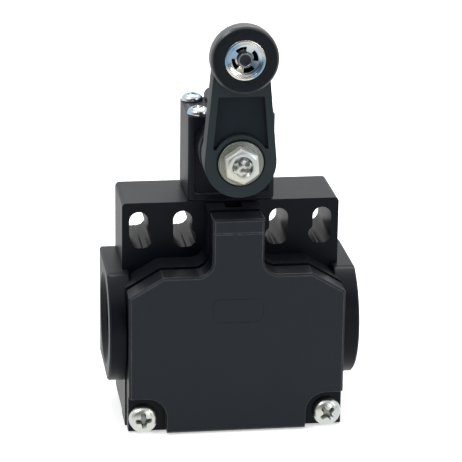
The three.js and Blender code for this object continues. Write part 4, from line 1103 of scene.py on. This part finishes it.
# %% Build the washer
WASHER_EDGE = 0.12 * MM
WASHER_PAINTED_SHADE = 0.68
RIPPLE_FROM = 3.3 * MM
RIPPLE_COUNT = 4
RIPPLE_DEPTH = 0.07 * MM

washer_low, washer_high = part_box("lever_washer")
WASHER_R = (washer_high.x - washer_low.x) / 2


def rippled_face(front, steps=12):
    """The washer's pressed rings as a wave in its profile, from RIPPLE_FROM to the rim."""
    width = WASHER_R - WASHER_EDGE - RIPPLE_FROM
    points = []
    for step in range(steps * RIPPLE_COUNT):
        share = step / (steps * RIPPLE_COUNT)
        wave = 0.5 - 0.5 * math.cos(2 * math.pi * RIPPLE_COUNT * share)
        points.append((RIPPLE_FROM + width * share, front + RIPPLE_DEPTH * wave))
    return points


def lever_washer():
    front, back = washer_low.y, washer_high.y
    rim = [(WASHER_R, front), (WASHER_R, back), (BOLT_HOLE_R, back), (BOLT_HOLE_R, front)]
    profile = rippled_face(front) + rounded_profile(rim, WASHER_EDGE)[:-1]
    washer = turned("lever_washer_plate", profile, LEVER_AXIS)
    mark_centre(washer, LEVER_AXIS)
    # The whole washer is blended towards the dark colour: painted shade under the bolt head.
    mark_value(washer, "pit", WASHER_PAINTED_SHADE)
    return smooth(washer)


settle(lever_washer(), "lever", "zinc", "lever_washer")

# %% [markdown]
# The die leaves the floor of the dimple domed and full of shallow dents. The dimple is darkened, most
# in the low spots of the dents: partly dirt settled in them, partly painted shade and dark reflection.
# A bump texture could draw the dents, but then the mesh would stay smooth, so the vertices are moved.

# %% The dimple in the bolt's head
DIMPLE_R = 2.35 * MM
DIMPLE_DEPTH = 0.6 * MM
DIMPLE_DOME = 0.22 * MM
DIMPLE_FLOOR = 0.88
DIMPLE_INSIDE = 0.9
DENT_DEPTH = 0.16 * MM
DENT_WIDTH = 0.95 * MM
DENT_DIRT_AND_SHADE = 1.8
MEAN_DIRT_AND_SHADE = 0.62
MOST_DIRT_AND_SHADE = 0.9


def dish_points(rim, steps=10):
    """The dimple's floor: it bulges a little and is as deep as rim at the foot of its wall."""
    foot = DIMPLE_FLOOR * DIMPLE_R
    shares = [step / steps for step in range(steps + 1)]
    return [(foot * share, rim - DIMPLE_DOME * (1 - share ** 2)) for share in shares]


def in_dish(place, front):
    inside = (place - LEVER_AXIS).xz.length < DIMPLE_INSIDE * DIMPLE_R
    return float(inside and place.y > front + DIMPLE_DEPTH / 3)


def dent_dish(head, front):
    """Shallow dents from the die, which break the reflection in the dimple into patches."""
    for vertex in head.data.vertices:
        if in_dish(vertex.co, front):
            vertex.co.y += DENT_DEPTH * noise.noise(vertex.co / DENT_WIDTH)


def dent_dirt_and_shade(place):
    """The dented floor is darkened, most in its low spots: partly dirt, partly painted shade and dark
    reflection; the high spots stay clean.
    """
    dirt = MEAN_DIRT_AND_SHADE + DENT_DIRT_AND_SHADE * noise.noise(place / DENT_WIDTH)
    return max(0.0, min(MOST_DIRT_AND_SHADE, dirt))


print("dimple:", round(DIMPLE_R / MM, 2), "mm in radius")

# %% [markdown]
# The head is turned with a cone that reaches past its corners, dented, and then cut to a hexagon.
# The shank joins it from behind, hidden by washer and lever.

# %% Build the bolt
HEX_FLATS = 7.1 * MM
HEX_TURN = math.radians(5)
HEX_FACE_R = 3.05 * MM
HEX_HEIGHT = 2.9 * MM
HEX_CONE = 0.6 * MM
HEX_EDGE = 0.07 * MM
FORGED_EDGE = 0.08 * MM
FLATS_FROM = 0.95
SHANK_R = 2.5 * MM
SHANK_EDGE = 0.3 * MM

bolt_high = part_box("lever_bolt")[1]
HEX_CORNER_R = HEX_FLATS / 2 / math.cos(math.pi / 6)


def on_flats(place, front):
    """The sheared flats of the hexagon stay dull; only its face is struck smooth."""
    outside = (place - LEVER_AXIS).xz.length > FLATS_FROM * HEX_FLATS / 2
    return float(outside and place.y > front + HEX_CONE / 4)


def bolt_head(front, seat):
    """A turned head with the dimple and a cone past its corners, cut by a hexagonal prism."""
    blank_r = HEX_CORNER_R + MM
    cone = HEX_CONE * (blank_r - HEX_FACE_R) / (HEX_CORNER_R - HEX_FACE_R)
    profile = [
        *dish_points(front + DIMPLE_DEPTH),
        (DIMPLE_R, front),
        (HEX_FACE_R, front),
        (blank_r, front + cone),
        (blank_r, seat),
        (0, seat),
    ]
    head = turned("lever_bolt_forging", rounded_profile(profile, FORGED_EDGE), LEVER_AXIS)
    dent_dish(head, front)
    angles = [math.pi / 2 + HEX_TURN + math.pi / 3 * corner for corner in range(6)]
    corners = [
        (HEX_CORNER_R * math.cos(a), LEVER_AXIS.z + HEX_CORNER_R * math.sin(a)) for a in angles
    ]
    combine(head, [drawn("hexagon", corners, seat + PAST, front - PAST)], "INTERSECT")
    return soften(head, HEX_EDGE, from_angle=24)


def lever_bolt():
    front, seat, end = washer_low.y - HEX_HEIGHT, washer_low.y, bolt_high.y
    bolt = bolt_head(front, seat)
    profile = [(0, seat - PAST), (SHANK_R, seat - PAST), (SHANK_R, end), (0, end)]
    shank = turned("shank", rounded_profile(profile, SHANK_EDGE), LEVER_AXIS, steps=48)
    combine(bolt, [shank], "UNION")
    mark_centre(bolt, LEVER_AXIS)
    # The dimple is darkened in patches: partly dirt, partly painted shade and dark reflection.
    mark_value(bolt, "pit", lambda place: in_dish(place, front) * dent_dirt_and_shade(place))
    mark_value(bolt, "dull", lambda place: on_flats(place, front))
    return smooth(bolt, sharp_at=30)


settle(lever_bolt(), "lever", "zinc", "lever_bolt")

# %% [markdown]
# ## Geometry Nodes for what repeats
# Screws, the windows of the hub and the turns of a thread repeat by a rule, so a node tree builds
# them. Each tree is made here with named inputs for its sizes. It ends by turning its instances into
# real geometry and giving it a material, and its result is then kept as a plain mesh.

# %% A small kit for geometry node trees
GEOMETRY = "NodeSocketGeometry"
INTEGER = "NodeSocketInt"
VECTOR = "NodeSocketVector"
OBJECT = "NodeSocketObject"
MATERIAL = "NodeSocketMaterial"


def new_tree(name, inputs):
    """A tree with named inputs and their usual values; geometry and material are added to them."""
    tree = bpy.data.node_groups.new(name, "GeometryNodeTree")
    tree.interface.new_socket("Geometry", in_out="INPUT", socket_type=GEOMETRY)
    for label, kind, value in inputs:
        socket = tree.interface.new_socket(label, in_out="INPUT", socket_type=kind)
        if value is not None:
            socket.default_value = value
    tree.interface.new_socket("Material", in_out="INPUT", socket_type=MATERIAL)
    tree.interface.new_socket("Geometry", in_out="OUTPUT", socket_type=GEOMETRY)
    return tree, tree.nodes.new("NodeGroupInput").outputs


def read_number(tree, name):
    """An attribute of the points that the tree's instances are set on."""
    return add_node(tree, "GeometryNodeInputNamedAttribute", {"data_type": "FLOAT"}, Name=name)


def turned_by(tree, instances, **angles):
    """Turns each instance about its own axes, by angles for X, Y or Z."""
    turn = add_node(tree, "ShaderNodeCombineXYZ", **angles)
    return add_node(
        tree, "GeometryNodeRotateInstances", Instances=instances, Local_Space=True, Rotation=turn,
    )


def finish_tree(tree, geometry, material):
    real = add_node(tree, "GeometryNodeRealizeInstances", Geometry=geometry)
    painted = add_node(tree, "GeometryNodeSetMaterial", Geometry=real, Material=material)
    add_node(tree, "NodeGroupOutput", Geometry=painted)
    return tree


def grow(piece, tree, **values):
    """Runs the tree on the piece, with its inputs set by their identifiers, and keeps the result."""
    modifier = piece.modifiers.new(tree.name, "NODES")
    modifier.node_group = tree
    for item in tree.interface.items_tree:
        key = item.name.replace(" ", "_")
        if item.in_out == "INPUT" and key in values:
            modifier[item.identifier] = values[key]
    return flatten(piece)


def point_cloud(name, places, **attributes):
    """Loose vertices with attributes, for a tree to set its instances on."""
    mesh = bpy.data.meshes.new(name)
    mesh.from_pydata([tuple(place) for place in places], [], [])
    for label, values in attributes.items():
        layer = mesh.attributes.new(label, "FLOAT", "POINT")
        layer.data.foreach_set("value", values)
    return new_piece(name, mesh)


print("geometry node kit ready")

# %% [markdown]
# ## Roller
# The roller is a plastic tyre pressed on a hub of pressed steel sheet. The hub's rim is rolled over,
# a cone leads down from it to a flat disc, and four curved windows are punched in the disc. Rim,
# cone and disc are one turned profile. The windows are arcs swept by a rectangle, set round the axis
# by a node tree and cut out there.

# %% Node tree: windows round an axis


def window_tree():
    tree, given = new_tree("hub windows", [
        ("Count", INTEGER, 4),
        ("First Angle", FLOAT, 0.0),
        ("Span", FLOAT, 1.0),
        ("Radius", FLOAT, 0.003),
        ("Width", FLOAT, 0.001),
        ("Depth", FLOAT, 0.002),
        ("Centre", VECTOR, (0, 0, 0)),
    ])
    arc = add_node(
        tree, "GeometryNodeCurveArc", {"mode": "RADIUS"},
        Resolution=24, Radius=given["Radius"], Start_Angle=0.0, Sweep_Angle=given["Span"],
    )
    level = add_node(tree, "GeometryNodeSetCurveNormal", {"mode": "Z_UP"}, Curve=arc)
    section = add_node(
        tree, "GeometryNodeCurvePrimitiveQuadrilateral", {"mode": "RECTANGLE"},
        Width=given["Width"], Height=given["Depth"],
    )
    cutter = add_node(
        tree, "GeometryNodeCurveToMesh", Curve=level, Profile_Curve=section, Fill_Caps=True,
    )
    points = add_node(tree, "GeometryNodePoints", Count=given["Count"])
    index = add_node(tree, "GeometryNodeInputIndex")
    share = math_node(tree, "DIVIDE", index, given["Count"])
    angle = math_node(tree, "MULTIPLY_ADD", share, 2 * math.pi, given["First Angle"])
    cutters = add_node(
        tree, "GeometryNodeInstanceOnPoints", Points=points, Instance=cutter,
        Rotation=add_node(tree, "ShaderNodeCombineXYZ", Z=angle),
    )
    placed = add_node(
        tree, "GeometryNodeTransform",
        Geometry=add_node(tree, "GeometryNodeRealizeInstances", Geometry=cutters),
        Translation=given["Centre"], Rotation=(math.pi / 2, 0, 0),
    )
    punched = add_node(
        tree, "GeometryNodeMeshBoolean", {"operation": "DIFFERENCE", "solver": "EXACT"},
        Mesh_1=given["Geometry"], Mesh_2=placed,
    )
    return finish_tree(tree, punched, given["Material"])


WINDOWS = window_tree()
print("tree:", WINDOWS.name)

# %% [markdown]
# The hub's profile runs from the bore over the disc, up the cone and round the rolled rim, and comes
# back behind as the sheet's other side. Its windows are cut before its vertices are marked.

# %% Build the hub
HUB_RIM = 0.8 * MM
HUB_RIM_DEPTH = 0.7 * MM
HUB_CONE = 0.45 * MM
HUB_CONE_RISE = 0.1 * MM
HUB_LIP = 0.12 * MM
HUB_LIP_DEPTH = 0.3 * MM
HUB_LIP_RISE = 0.02 * MM
HUB_SHEET = 0.6 * MM
HUB_BORE_R = 1.55 * MM
HUB_CORE_R = 2.0 * MM
HUB_BEAD = 0.22 * MM
HUB_TUCK = 0.22 * MM
WINDOW_SPAN = math.radians(54)
WINDOW_FIRST = math.radians(20)
WINDOW_IN = 1.74 * MM
WINDOW_OUT = 2.90 * MM
WINDOW_CUT = 2.0 * MM
PAINTED_REFLECTION_SIDE = math.radians(155)
PAINTED_REFLECTION_STRENGTH = 1.1

hub_low, hub_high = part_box("roller_hub")
HUB_R = (hub_high.x - hub_low.x) / 2 - HUB_TUCK
DISC_Y = hub_low.y + HUB_RIM_DEPTH


def painted_reflection_drift(place):
    """A painted reflection: the blue and cream tints shift with the angle round the axis, most towards
    two opposite sides and more towards the rim, and they turn with the hub.
    """
    out = (place - ROLLER_AXIS).xz
    return PAINTED_REFLECTION_STRENGTH * math.cos(2 * (math.atan2(out.y, out.x) - PAINTED_REFLECTION_SIDE)) * out.length / HUB_R


def roller_hub():
    front, back, inner = hub_low.y, hub_high.y, HUB_R - HUB_RIM
    profile = [
        (HUB_BORE_R, DISC_Y),
        (inner - HUB_CONE, DISC_Y - HUB_CONE_RISE),
        (inner, front + HUB_LIP_DEPTH),
        (inner + HUB_LIP / 2, front + HUB_LIP_DEPTH + HUB_LIP_RISE),
        (inner + HUB_LIP, front),
        (HUB_R, front),
        (HUB_R, back),
        (inner, back),
        (inner, DISC_Y + HUB_SHEET),
        (HUB_CORE_R, DISC_Y + HUB_SHEET),
        (HUB_CORE_R, back),
        (HUB_BORE_R, back),
    ]
    hub = turned("roller_hub_pressing", rounded_profile(profile, HUB_BEAD), ROLLER_AXIS)
    grow(
        hub, WINDOWS, Count=4, First_Angle=WINDOW_FIRST - WINDOW_SPAN / 2, Span=WINDOW_SPAN,
        Radius=(WINDOW_IN + WINDOW_OUT) / 2, Width=WINDOW_OUT - WINDOW_IN, Depth=WINDOW_CUT,
        Centre=(ROLLER_AXIS.x, DISC_Y, ROLLER_AXIS.z), Material=MATERIALS["zinc"],
    )
    mark_centre(hub, ROLLER_AXIS)
    # The tint shift here is a painted reflection: it is set by the angle round the axis and turns with
    # the hub.
    mark_value(hub, "skin", painted_reflection_drift)
    return smooth(hub)


settle(roller_hub(), "roller", "zinc", "roller_hub", finish="zinc_blue")

# %% [markdown]
# The tyre's tread is a little crowned and its corners have a chamfer, so that it doesn't dig its
# edges into what it rolls on. Rolling has scuffed and burnished the tread, and the attributes named
# skin and shine tell the material where.

# %% Build the tyre
TYRE_CHAMFER = 0.65 * MM
TYRE_CROWN = 0.05 * MM
TYRE_PLAY = 0.03 * MM
TYRE_EDGE = 0.1 * MM
TREAD_SHINE = 0.35

tyre_low, tyre_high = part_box("roller_tyre")
TYRE_R = (tyre_high.x - tyre_low.x) / 2


def on_tread(place):
    return float((place - ROLLER_AXIS).xz.length > TYRE_R - TYRE_CHAMFER / 3)


def roller_tyre():
    front, back, bore = tyre_low.y, tyre_high.y, HUB_R + TYRE_PLAY
    profile = [
        (bore, front),
        (TYRE_R - TYRE_CHAMFER, front),
        (TYRE_R - TYRE_CROWN, front + TYRE_CHAMFER),
        (TYRE_R, (front + back) / 2),
        (TYRE_R - TYRE_CROWN, back - TYRE_CHAMFER),
        (TYRE_R - TYRE_CHAMFER, back),
        (bore, back),
    ]
    tyre = turned("roller_tyre_moulding", rounded_profile(profile, TYRE_EDGE), ROLLER_AXIS, steps=192)
    mark_edges(tyre)
    mark_value(tyre, "skin", on_tread)
    mark_value(tyre, "shine", lambda place: TREAD_SHINE * on_tread(place))
    return smooth(tyre)


settle(roller_tyre(), "roller", "tyre_plastic", "roller_tyre")

# %% [markdown]
# The pin is a rivet: a low head with a dish in its middle, a plain shank and a wider tail behind the
# lever. All of it is one turned profile, and its dish is painted dark as the shade of the hollow.

# %% Build the pin
PIN_R = 1.4 * MM
PIN_HEAD_R = 1.66 * MM
PIN_HEAD_T = 0.55 * MM
PIN_DISH_R = 1.36 * MM
PIN_DISH = 0.32 * MM
PIN_FLOOR = 0.8
PIN_FLOOR_DEPTH = 0.85
PIN_INSIDE = 0.9
PIN_TAIL_T = 0.8 * MM
PIN_EDGE = 0.15 * MM

pin_low, pin_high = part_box("roller_pin")
PIN_TAIL_R = (pin_high.x - pin_low.x) / 2


def in_pin_dish(place):
    return float((place - ROLLER_AXIS).xz.length < PIN_INSIDE * PIN_DISH_R)


def roller_pin():
    top, end = pin_low.y, pin_high.y
    profile = [
        (0, top + PIN_DISH),
        (PIN_FLOOR * PIN_DISH_R, top + PIN_FLOOR_DEPTH * PIN_DISH),
        (PIN_DISH_R, top),
        (PIN_HEAD_R, top),
        (PIN_HEAD_R, top + PIN_HEAD_T),
        (PIN_R, top + PIN_HEAD_T),
        (PIN_R, end - PIN_TAIL_T),
        (PIN_TAIL_R, end - PIN_TAIL_T),
        (PIN_TAIL_R, end),
        (0, end),
    ]
    pin = turned("roller_pin_rivet", rounded_profile(profile, PIN_EDGE), ROLLER_AXIS, steps=96)
    mark_centre(pin, ROLLER_AXIS)
    # The dish is darkened: painted shade of the hollow.
    mark_value(pin, "pit", in_pin_dish)
    return smooth(pin)


settle(roller_pin(), "lever", "dark_steel", "roller_pin")

# %% [markdown]
# ## Screws
# All screws are cold-forged pan heads with a cross recess. One head is turned and its tapered cross
# is cut, at unit size. A node tree scales it to each screw's head, adds the shank and sets a copy on
# every point of a cloud, turned by the point's own angle, since no two screws are driven home to the
# same angle.

# %% Forge one head of unit size
CROSS_REACH = 0.35
CROSS_HALF = 0.098
CROSS_ROUND = 0.045
CROSS_FILLET = 0.05
CROSS_DEPTH = 0.55
CROSS_TAPER = 0.55
CROSS_CLEAR = 1.2
RECESS_RIM = 0.8
MIDDLE_DARKENING = 0.45
ARM_DARKENING = 0.5
ARM_GAIN = 1.6
PAN_PROFILE = [(0, 0), (0.5, 0), (0.5, 0.28), (0.465, 0.56), (0.38, 0.80), (0.22, 0.95), (0, 1.0)]
PAN_ROUND = 0.09
PAN_EDGE = 0.012


def cross_outline():
    near, far = CROSS_HALF + CROSS_FILLET, CROSS_REACH - CROSS_ROUND
    corner = CROSS_HALF - CROSS_ROUND
    arm = [(near, CROSS_HALF), (far, CROSS_HALF), (CROSS_REACH, corner)]
    arm += [(x, -y) for x, y in reversed(arm)]
    turns = [Matrix.Rotation(-math.pi / 2 * quarter, 2) for quarter in range(4)]
    return [turn @ Vector(point) for turn in turns for point in arm]


def cross_tool():
    """The driver's tapered cross, from above the head down to the floor of the recess."""
    outline, low = cross_outline(), 1 - CROSS_DEPTH
    source = bmesh.new()
    top = [source.verts.new((x, y, CROSS_CLEAR)) for x, y in outline]
    foot = [source.verts.new((CROSS_TAPER * x, CROSS_TAPER * y, low)) for x, y in outline]
    source.faces.new(top)
    source.faces.new(foot)
    for i, corner in enumerate(top):
        j = (i + 1) % len(top)
        source.faces.new((corner, top[j], foot[j], foot[i]))
    bmesh.ops.recalc_face_normals(source, faces=source.faces)
    return from_bmesh("cross_tool", source)


def recess_darkening(place):
    """The recess is darkened, fully in its arms and less in the middle."""
    if place.xy.length > CROSS_REACH or place.z > RECESS_RIM:
        return 0.0
    return MIDDLE_DARKENING + ARM_DARKENING * min(1.0, ARM_GAIN * place.xy.length / CROSS_REACH)


def unit_head():
    profile = rounded_profile(PAN_PROFILE, PAN_ROUND)
    head = turned("pan_head", profile, Vector((0, 0, 0)), steps=64)
    head.data.transform(Matrix.Rotation(math.pi / 2, 4, "X"))
    combine(head, [cross_tool()])
    soften(head, PAN_EDGE, segments=2, from_angle=35)
    # The recess is darkened, more in its arms than in the middle.
    mark_value(head, "pit", recess_darkening)
    return smooth(head)


PAN_HEAD = unit_head()
print("pan head:", len(PAN_HEAD.data.polygons), "faces")

# %% [markdown]
# The tree below joins the scaled head to a plain cylinder for the shank. Screws in the front are
# leaned over by the input Lean, and those in the top stand as they are.

# %% Node tree: pan screws on points


def screw_tree():
    tree, given = new_tree("pan screws", [
        ("Head", OBJECT, None),
        ("Head Diameter", FLOAT, 0.006),
        ("Head Height", FLOAT, 0.002),
        ("Shank Diameter", FLOAT, 0.003),
        ("Shank Length", FLOAT, 0.010),
        ("Lean", FLOAT, 0.0),
    ])
    info = add_node(tree, "GeometryNodeObjectInfo", Object=given["Head"]).node
    size = add_node(
        tree, "ShaderNodeCombineXYZ",
        X=given["Head Diameter"], Y=given["Head Diameter"], Z=given["Head Height"],
    )
    head = add_node(
        tree, "GeometryNodeTransform", Geometry=info.outputs["Geometry"], Scale=size,
    )
    radius = math_node(tree, "MULTIPLY", given["Shank Diameter"], 0.5)
    drop = math_node(tree, "MULTIPLY", given["Shank Length"], -0.5)
    rod = add_node(
        tree, "GeometryNodeMeshCylinder",
        Vertices=24, Radius=radius, Depth=given["Shank Length"],
    )
    shank = add_node(
        tree, "GeometryNodeTransform", Geometry=rod,
        Translation=add_node(tree, "ShaderNodeCombineXYZ", Z=drop),
    )
    screw = add_node(tree, "GeometryNodeJoinGeometry", Geometry=head)
    link(tree, shank, screw.node.inputs[0])
    copies = add_node(
        tree, "GeometryNodeInstanceOnPoints", Points=given["Geometry"], Instance=screw,
        Rotation=add_node(tree, "ShaderNodeCombineXYZ", X=given["Lean"]),
    )
    driven = turned_by(tree, copies, Z=read_number(tree, "turn"))
    return finish_tree(tree, driven, given["Material"])


SCREWS = screw_tree()
print("tree:", SCREWS.name)

# %% [markdown]
# Four sizes of screw are set. Their places, lengths and head diameters come from the boxes of their
# nodes, so only head heights, shank diameters and turns are given. The screws of the small head on
# top are a little flatter and narrower than their nodes, as the photograph shows them.

# %% Set the screws on their seats


def screw_seats(boxes, head_height, faces_front):
    """The middle of the seat under each head."""
    seats = []
    for low, high in boxes:
        seat = (low + high) / 2
        if faces_front:
            seat.y = low.y + head_height
        else:
            seat.z = high.z - head_height
        seats.append(seat)
    return seats


def screw_set(
    name, nodes, turns, slot, head_height, shank,
    faces_front=True, rise=1.0, spread_out=1.0, finish=None,
):
    """One mesh for screws of one size, with their turns in degrees."""
    boxes = [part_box(node) for node in nodes]
    seats = screw_seats(boxes, head_height, faces_front)
    size = boxes[0][1] - boxes[0][0]
    screws = point_cloud(name, seats, turn=[math.radians(turn) for turn in turns])
    grow(
        screws, SCREWS, Head=PAN_HEAD, Head_Diameter=spread_out * size.x,
        Head_Height=rise * head_height, Shank_Diameter=shank,
        Shank_Length=(size.y if faces_front else size.z) - head_height,
        Lean=math.pi / 2 if faces_front else 0.0, Material=MATERIALS[slot],
    )
    return settle(screws, "base", slot, *nodes, finish=finish)


screw_set(
    "cover_screws", [f"cover_screw_{side}" for side in SIDES],
    (4, 40), "zinc", head_height=2.3 * MM, shank=3.4 * MM,
)
screw_set(
    "head_screws", [f"head_screw_{end}_{side}" for end in ("front", "rear") for side in SIDES],
    (12, 60, 35, 80), "zinc", head_height=2.1 * MM, shank=2.6 * MM,
    faces_front=False, rise=0.84, spread_out=0.94, finish="zinc_blue",
)
screw_set(
    "carrier_screws", [f"carrier_screw_{side}" for side in SIDES],
    (10, 55), "zinc", head_height=1.6 * MM, shank=2.4 * MM,
)
screw_set(
    "terminal_screws", [f"terminal_screw_{level}_{side}" for level in LEVELS for side in SIDES],
    (30, 75, 15, 50), "steel", head_height=2.2 * MM, shank=3.0 * MM,
)
bpy.data.objects.remove(PAN_HEAD)

# %% [markdown]
# ## Threads in the cable entries
# A gland screws into each entry, so the bores are threaded. The thread is a ridge that runs round
# the bore as a screw line. It is grown from a spiral curve swept by a small diamond, half of which
# lies in the wall, so that a sharp crest stands out and no edge shows beside it.

# %% Node tree: internal thread


def thread_tree():
    tree, given = new_tree("entry thread", [
        ("Radius", FLOAT, 0.009),
        ("Rise", FLOAT, 0.0005),
        ("Turns", FLOAT, 3.0),
        ("Length", FLOAT, 0.004),
    ])
    line = add_node(
        tree, "GeometryNodeCurveSpiral", Resolution=64, Rotations=given["Turns"],
        Start_Radius=given["Radius"], End_Radius=given["Radius"], Height=given["Length"],
    )
    level = add_node(tree, "GeometryNodeSetCurveNormal", {"mode": "Z_UP"}, Curve=line)
    section = add_node(
        tree, "GeometryNodeCurvePrimitiveCircle", {"mode": "RADIUS"},
        Resolution=4, Radius=given["Rise"],
    )
    ridge = add_node(
        tree, "GeometryNodeCurveToMesh", Curve=level, Profile_Curve=section, Fill_Caps=True,
    )
    copies = add_node(
        tree, "GeometryNodeInstanceOnPoints", Points=given["Geometry"], Instance=ridge,
    )
    turned_in = turned_by(tree, copies, Y=read_number(tree, "lean"))
    return finish_tree(tree, turned_in, given["Material"])


THREAD = thread_tree()
print("tree:", THREAD.name)

# %% [markdown]
# One point on each side says where a thread starts, and the attribute named lean turns the thread
# outwards along X. Both threads are one piece, since they belong to the same moulding.

# %% Grow the threads
ENTRY_BORE_R = 9.2 * MM
ENTRY_BACK = 13.0 * MM
ENTRY_DROP = 28.7 * MM
THREAD_PITCH = 1.41 * MM
THREAD_RISE = 0.55 * MM
THREAD_FROM = 22.4 * MM
THREAD_LENGTH = 4.4 * MM

housing_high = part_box("housing")[1]
ENTRY_PLACE = Vector((0, housing_high.y - ENTRY_BACK, housing_high.z - ENTRY_DROP))

starts = [ENTRY_PLACE + Vector((side * THREAD_FROM, 0, 0)) for side in (-1, 1)]
threads = point_cloud("entry_threads", starts, lean=[-math.pi / 2, math.pi / 2])
grow(
    threads, THREAD, Radius=ENTRY_BORE_R, Rise=THREAD_RISE, Turns=THREAD_LENGTH / THREAD_PITCH,
    Length=THREAD_LENGTH, Material=MATERIALS["housing_plastic"],
)
mark_edges(threads)
settle(smooth(threads, sharp_at=30), "base", "housing_plastic")

# %% [markdown]
# ## Finish
# The number of triangles in the new pieces is printed.

# %% Count the new triangles
print("triangles in new pieces:", sum(count for _, count in FINISHED))
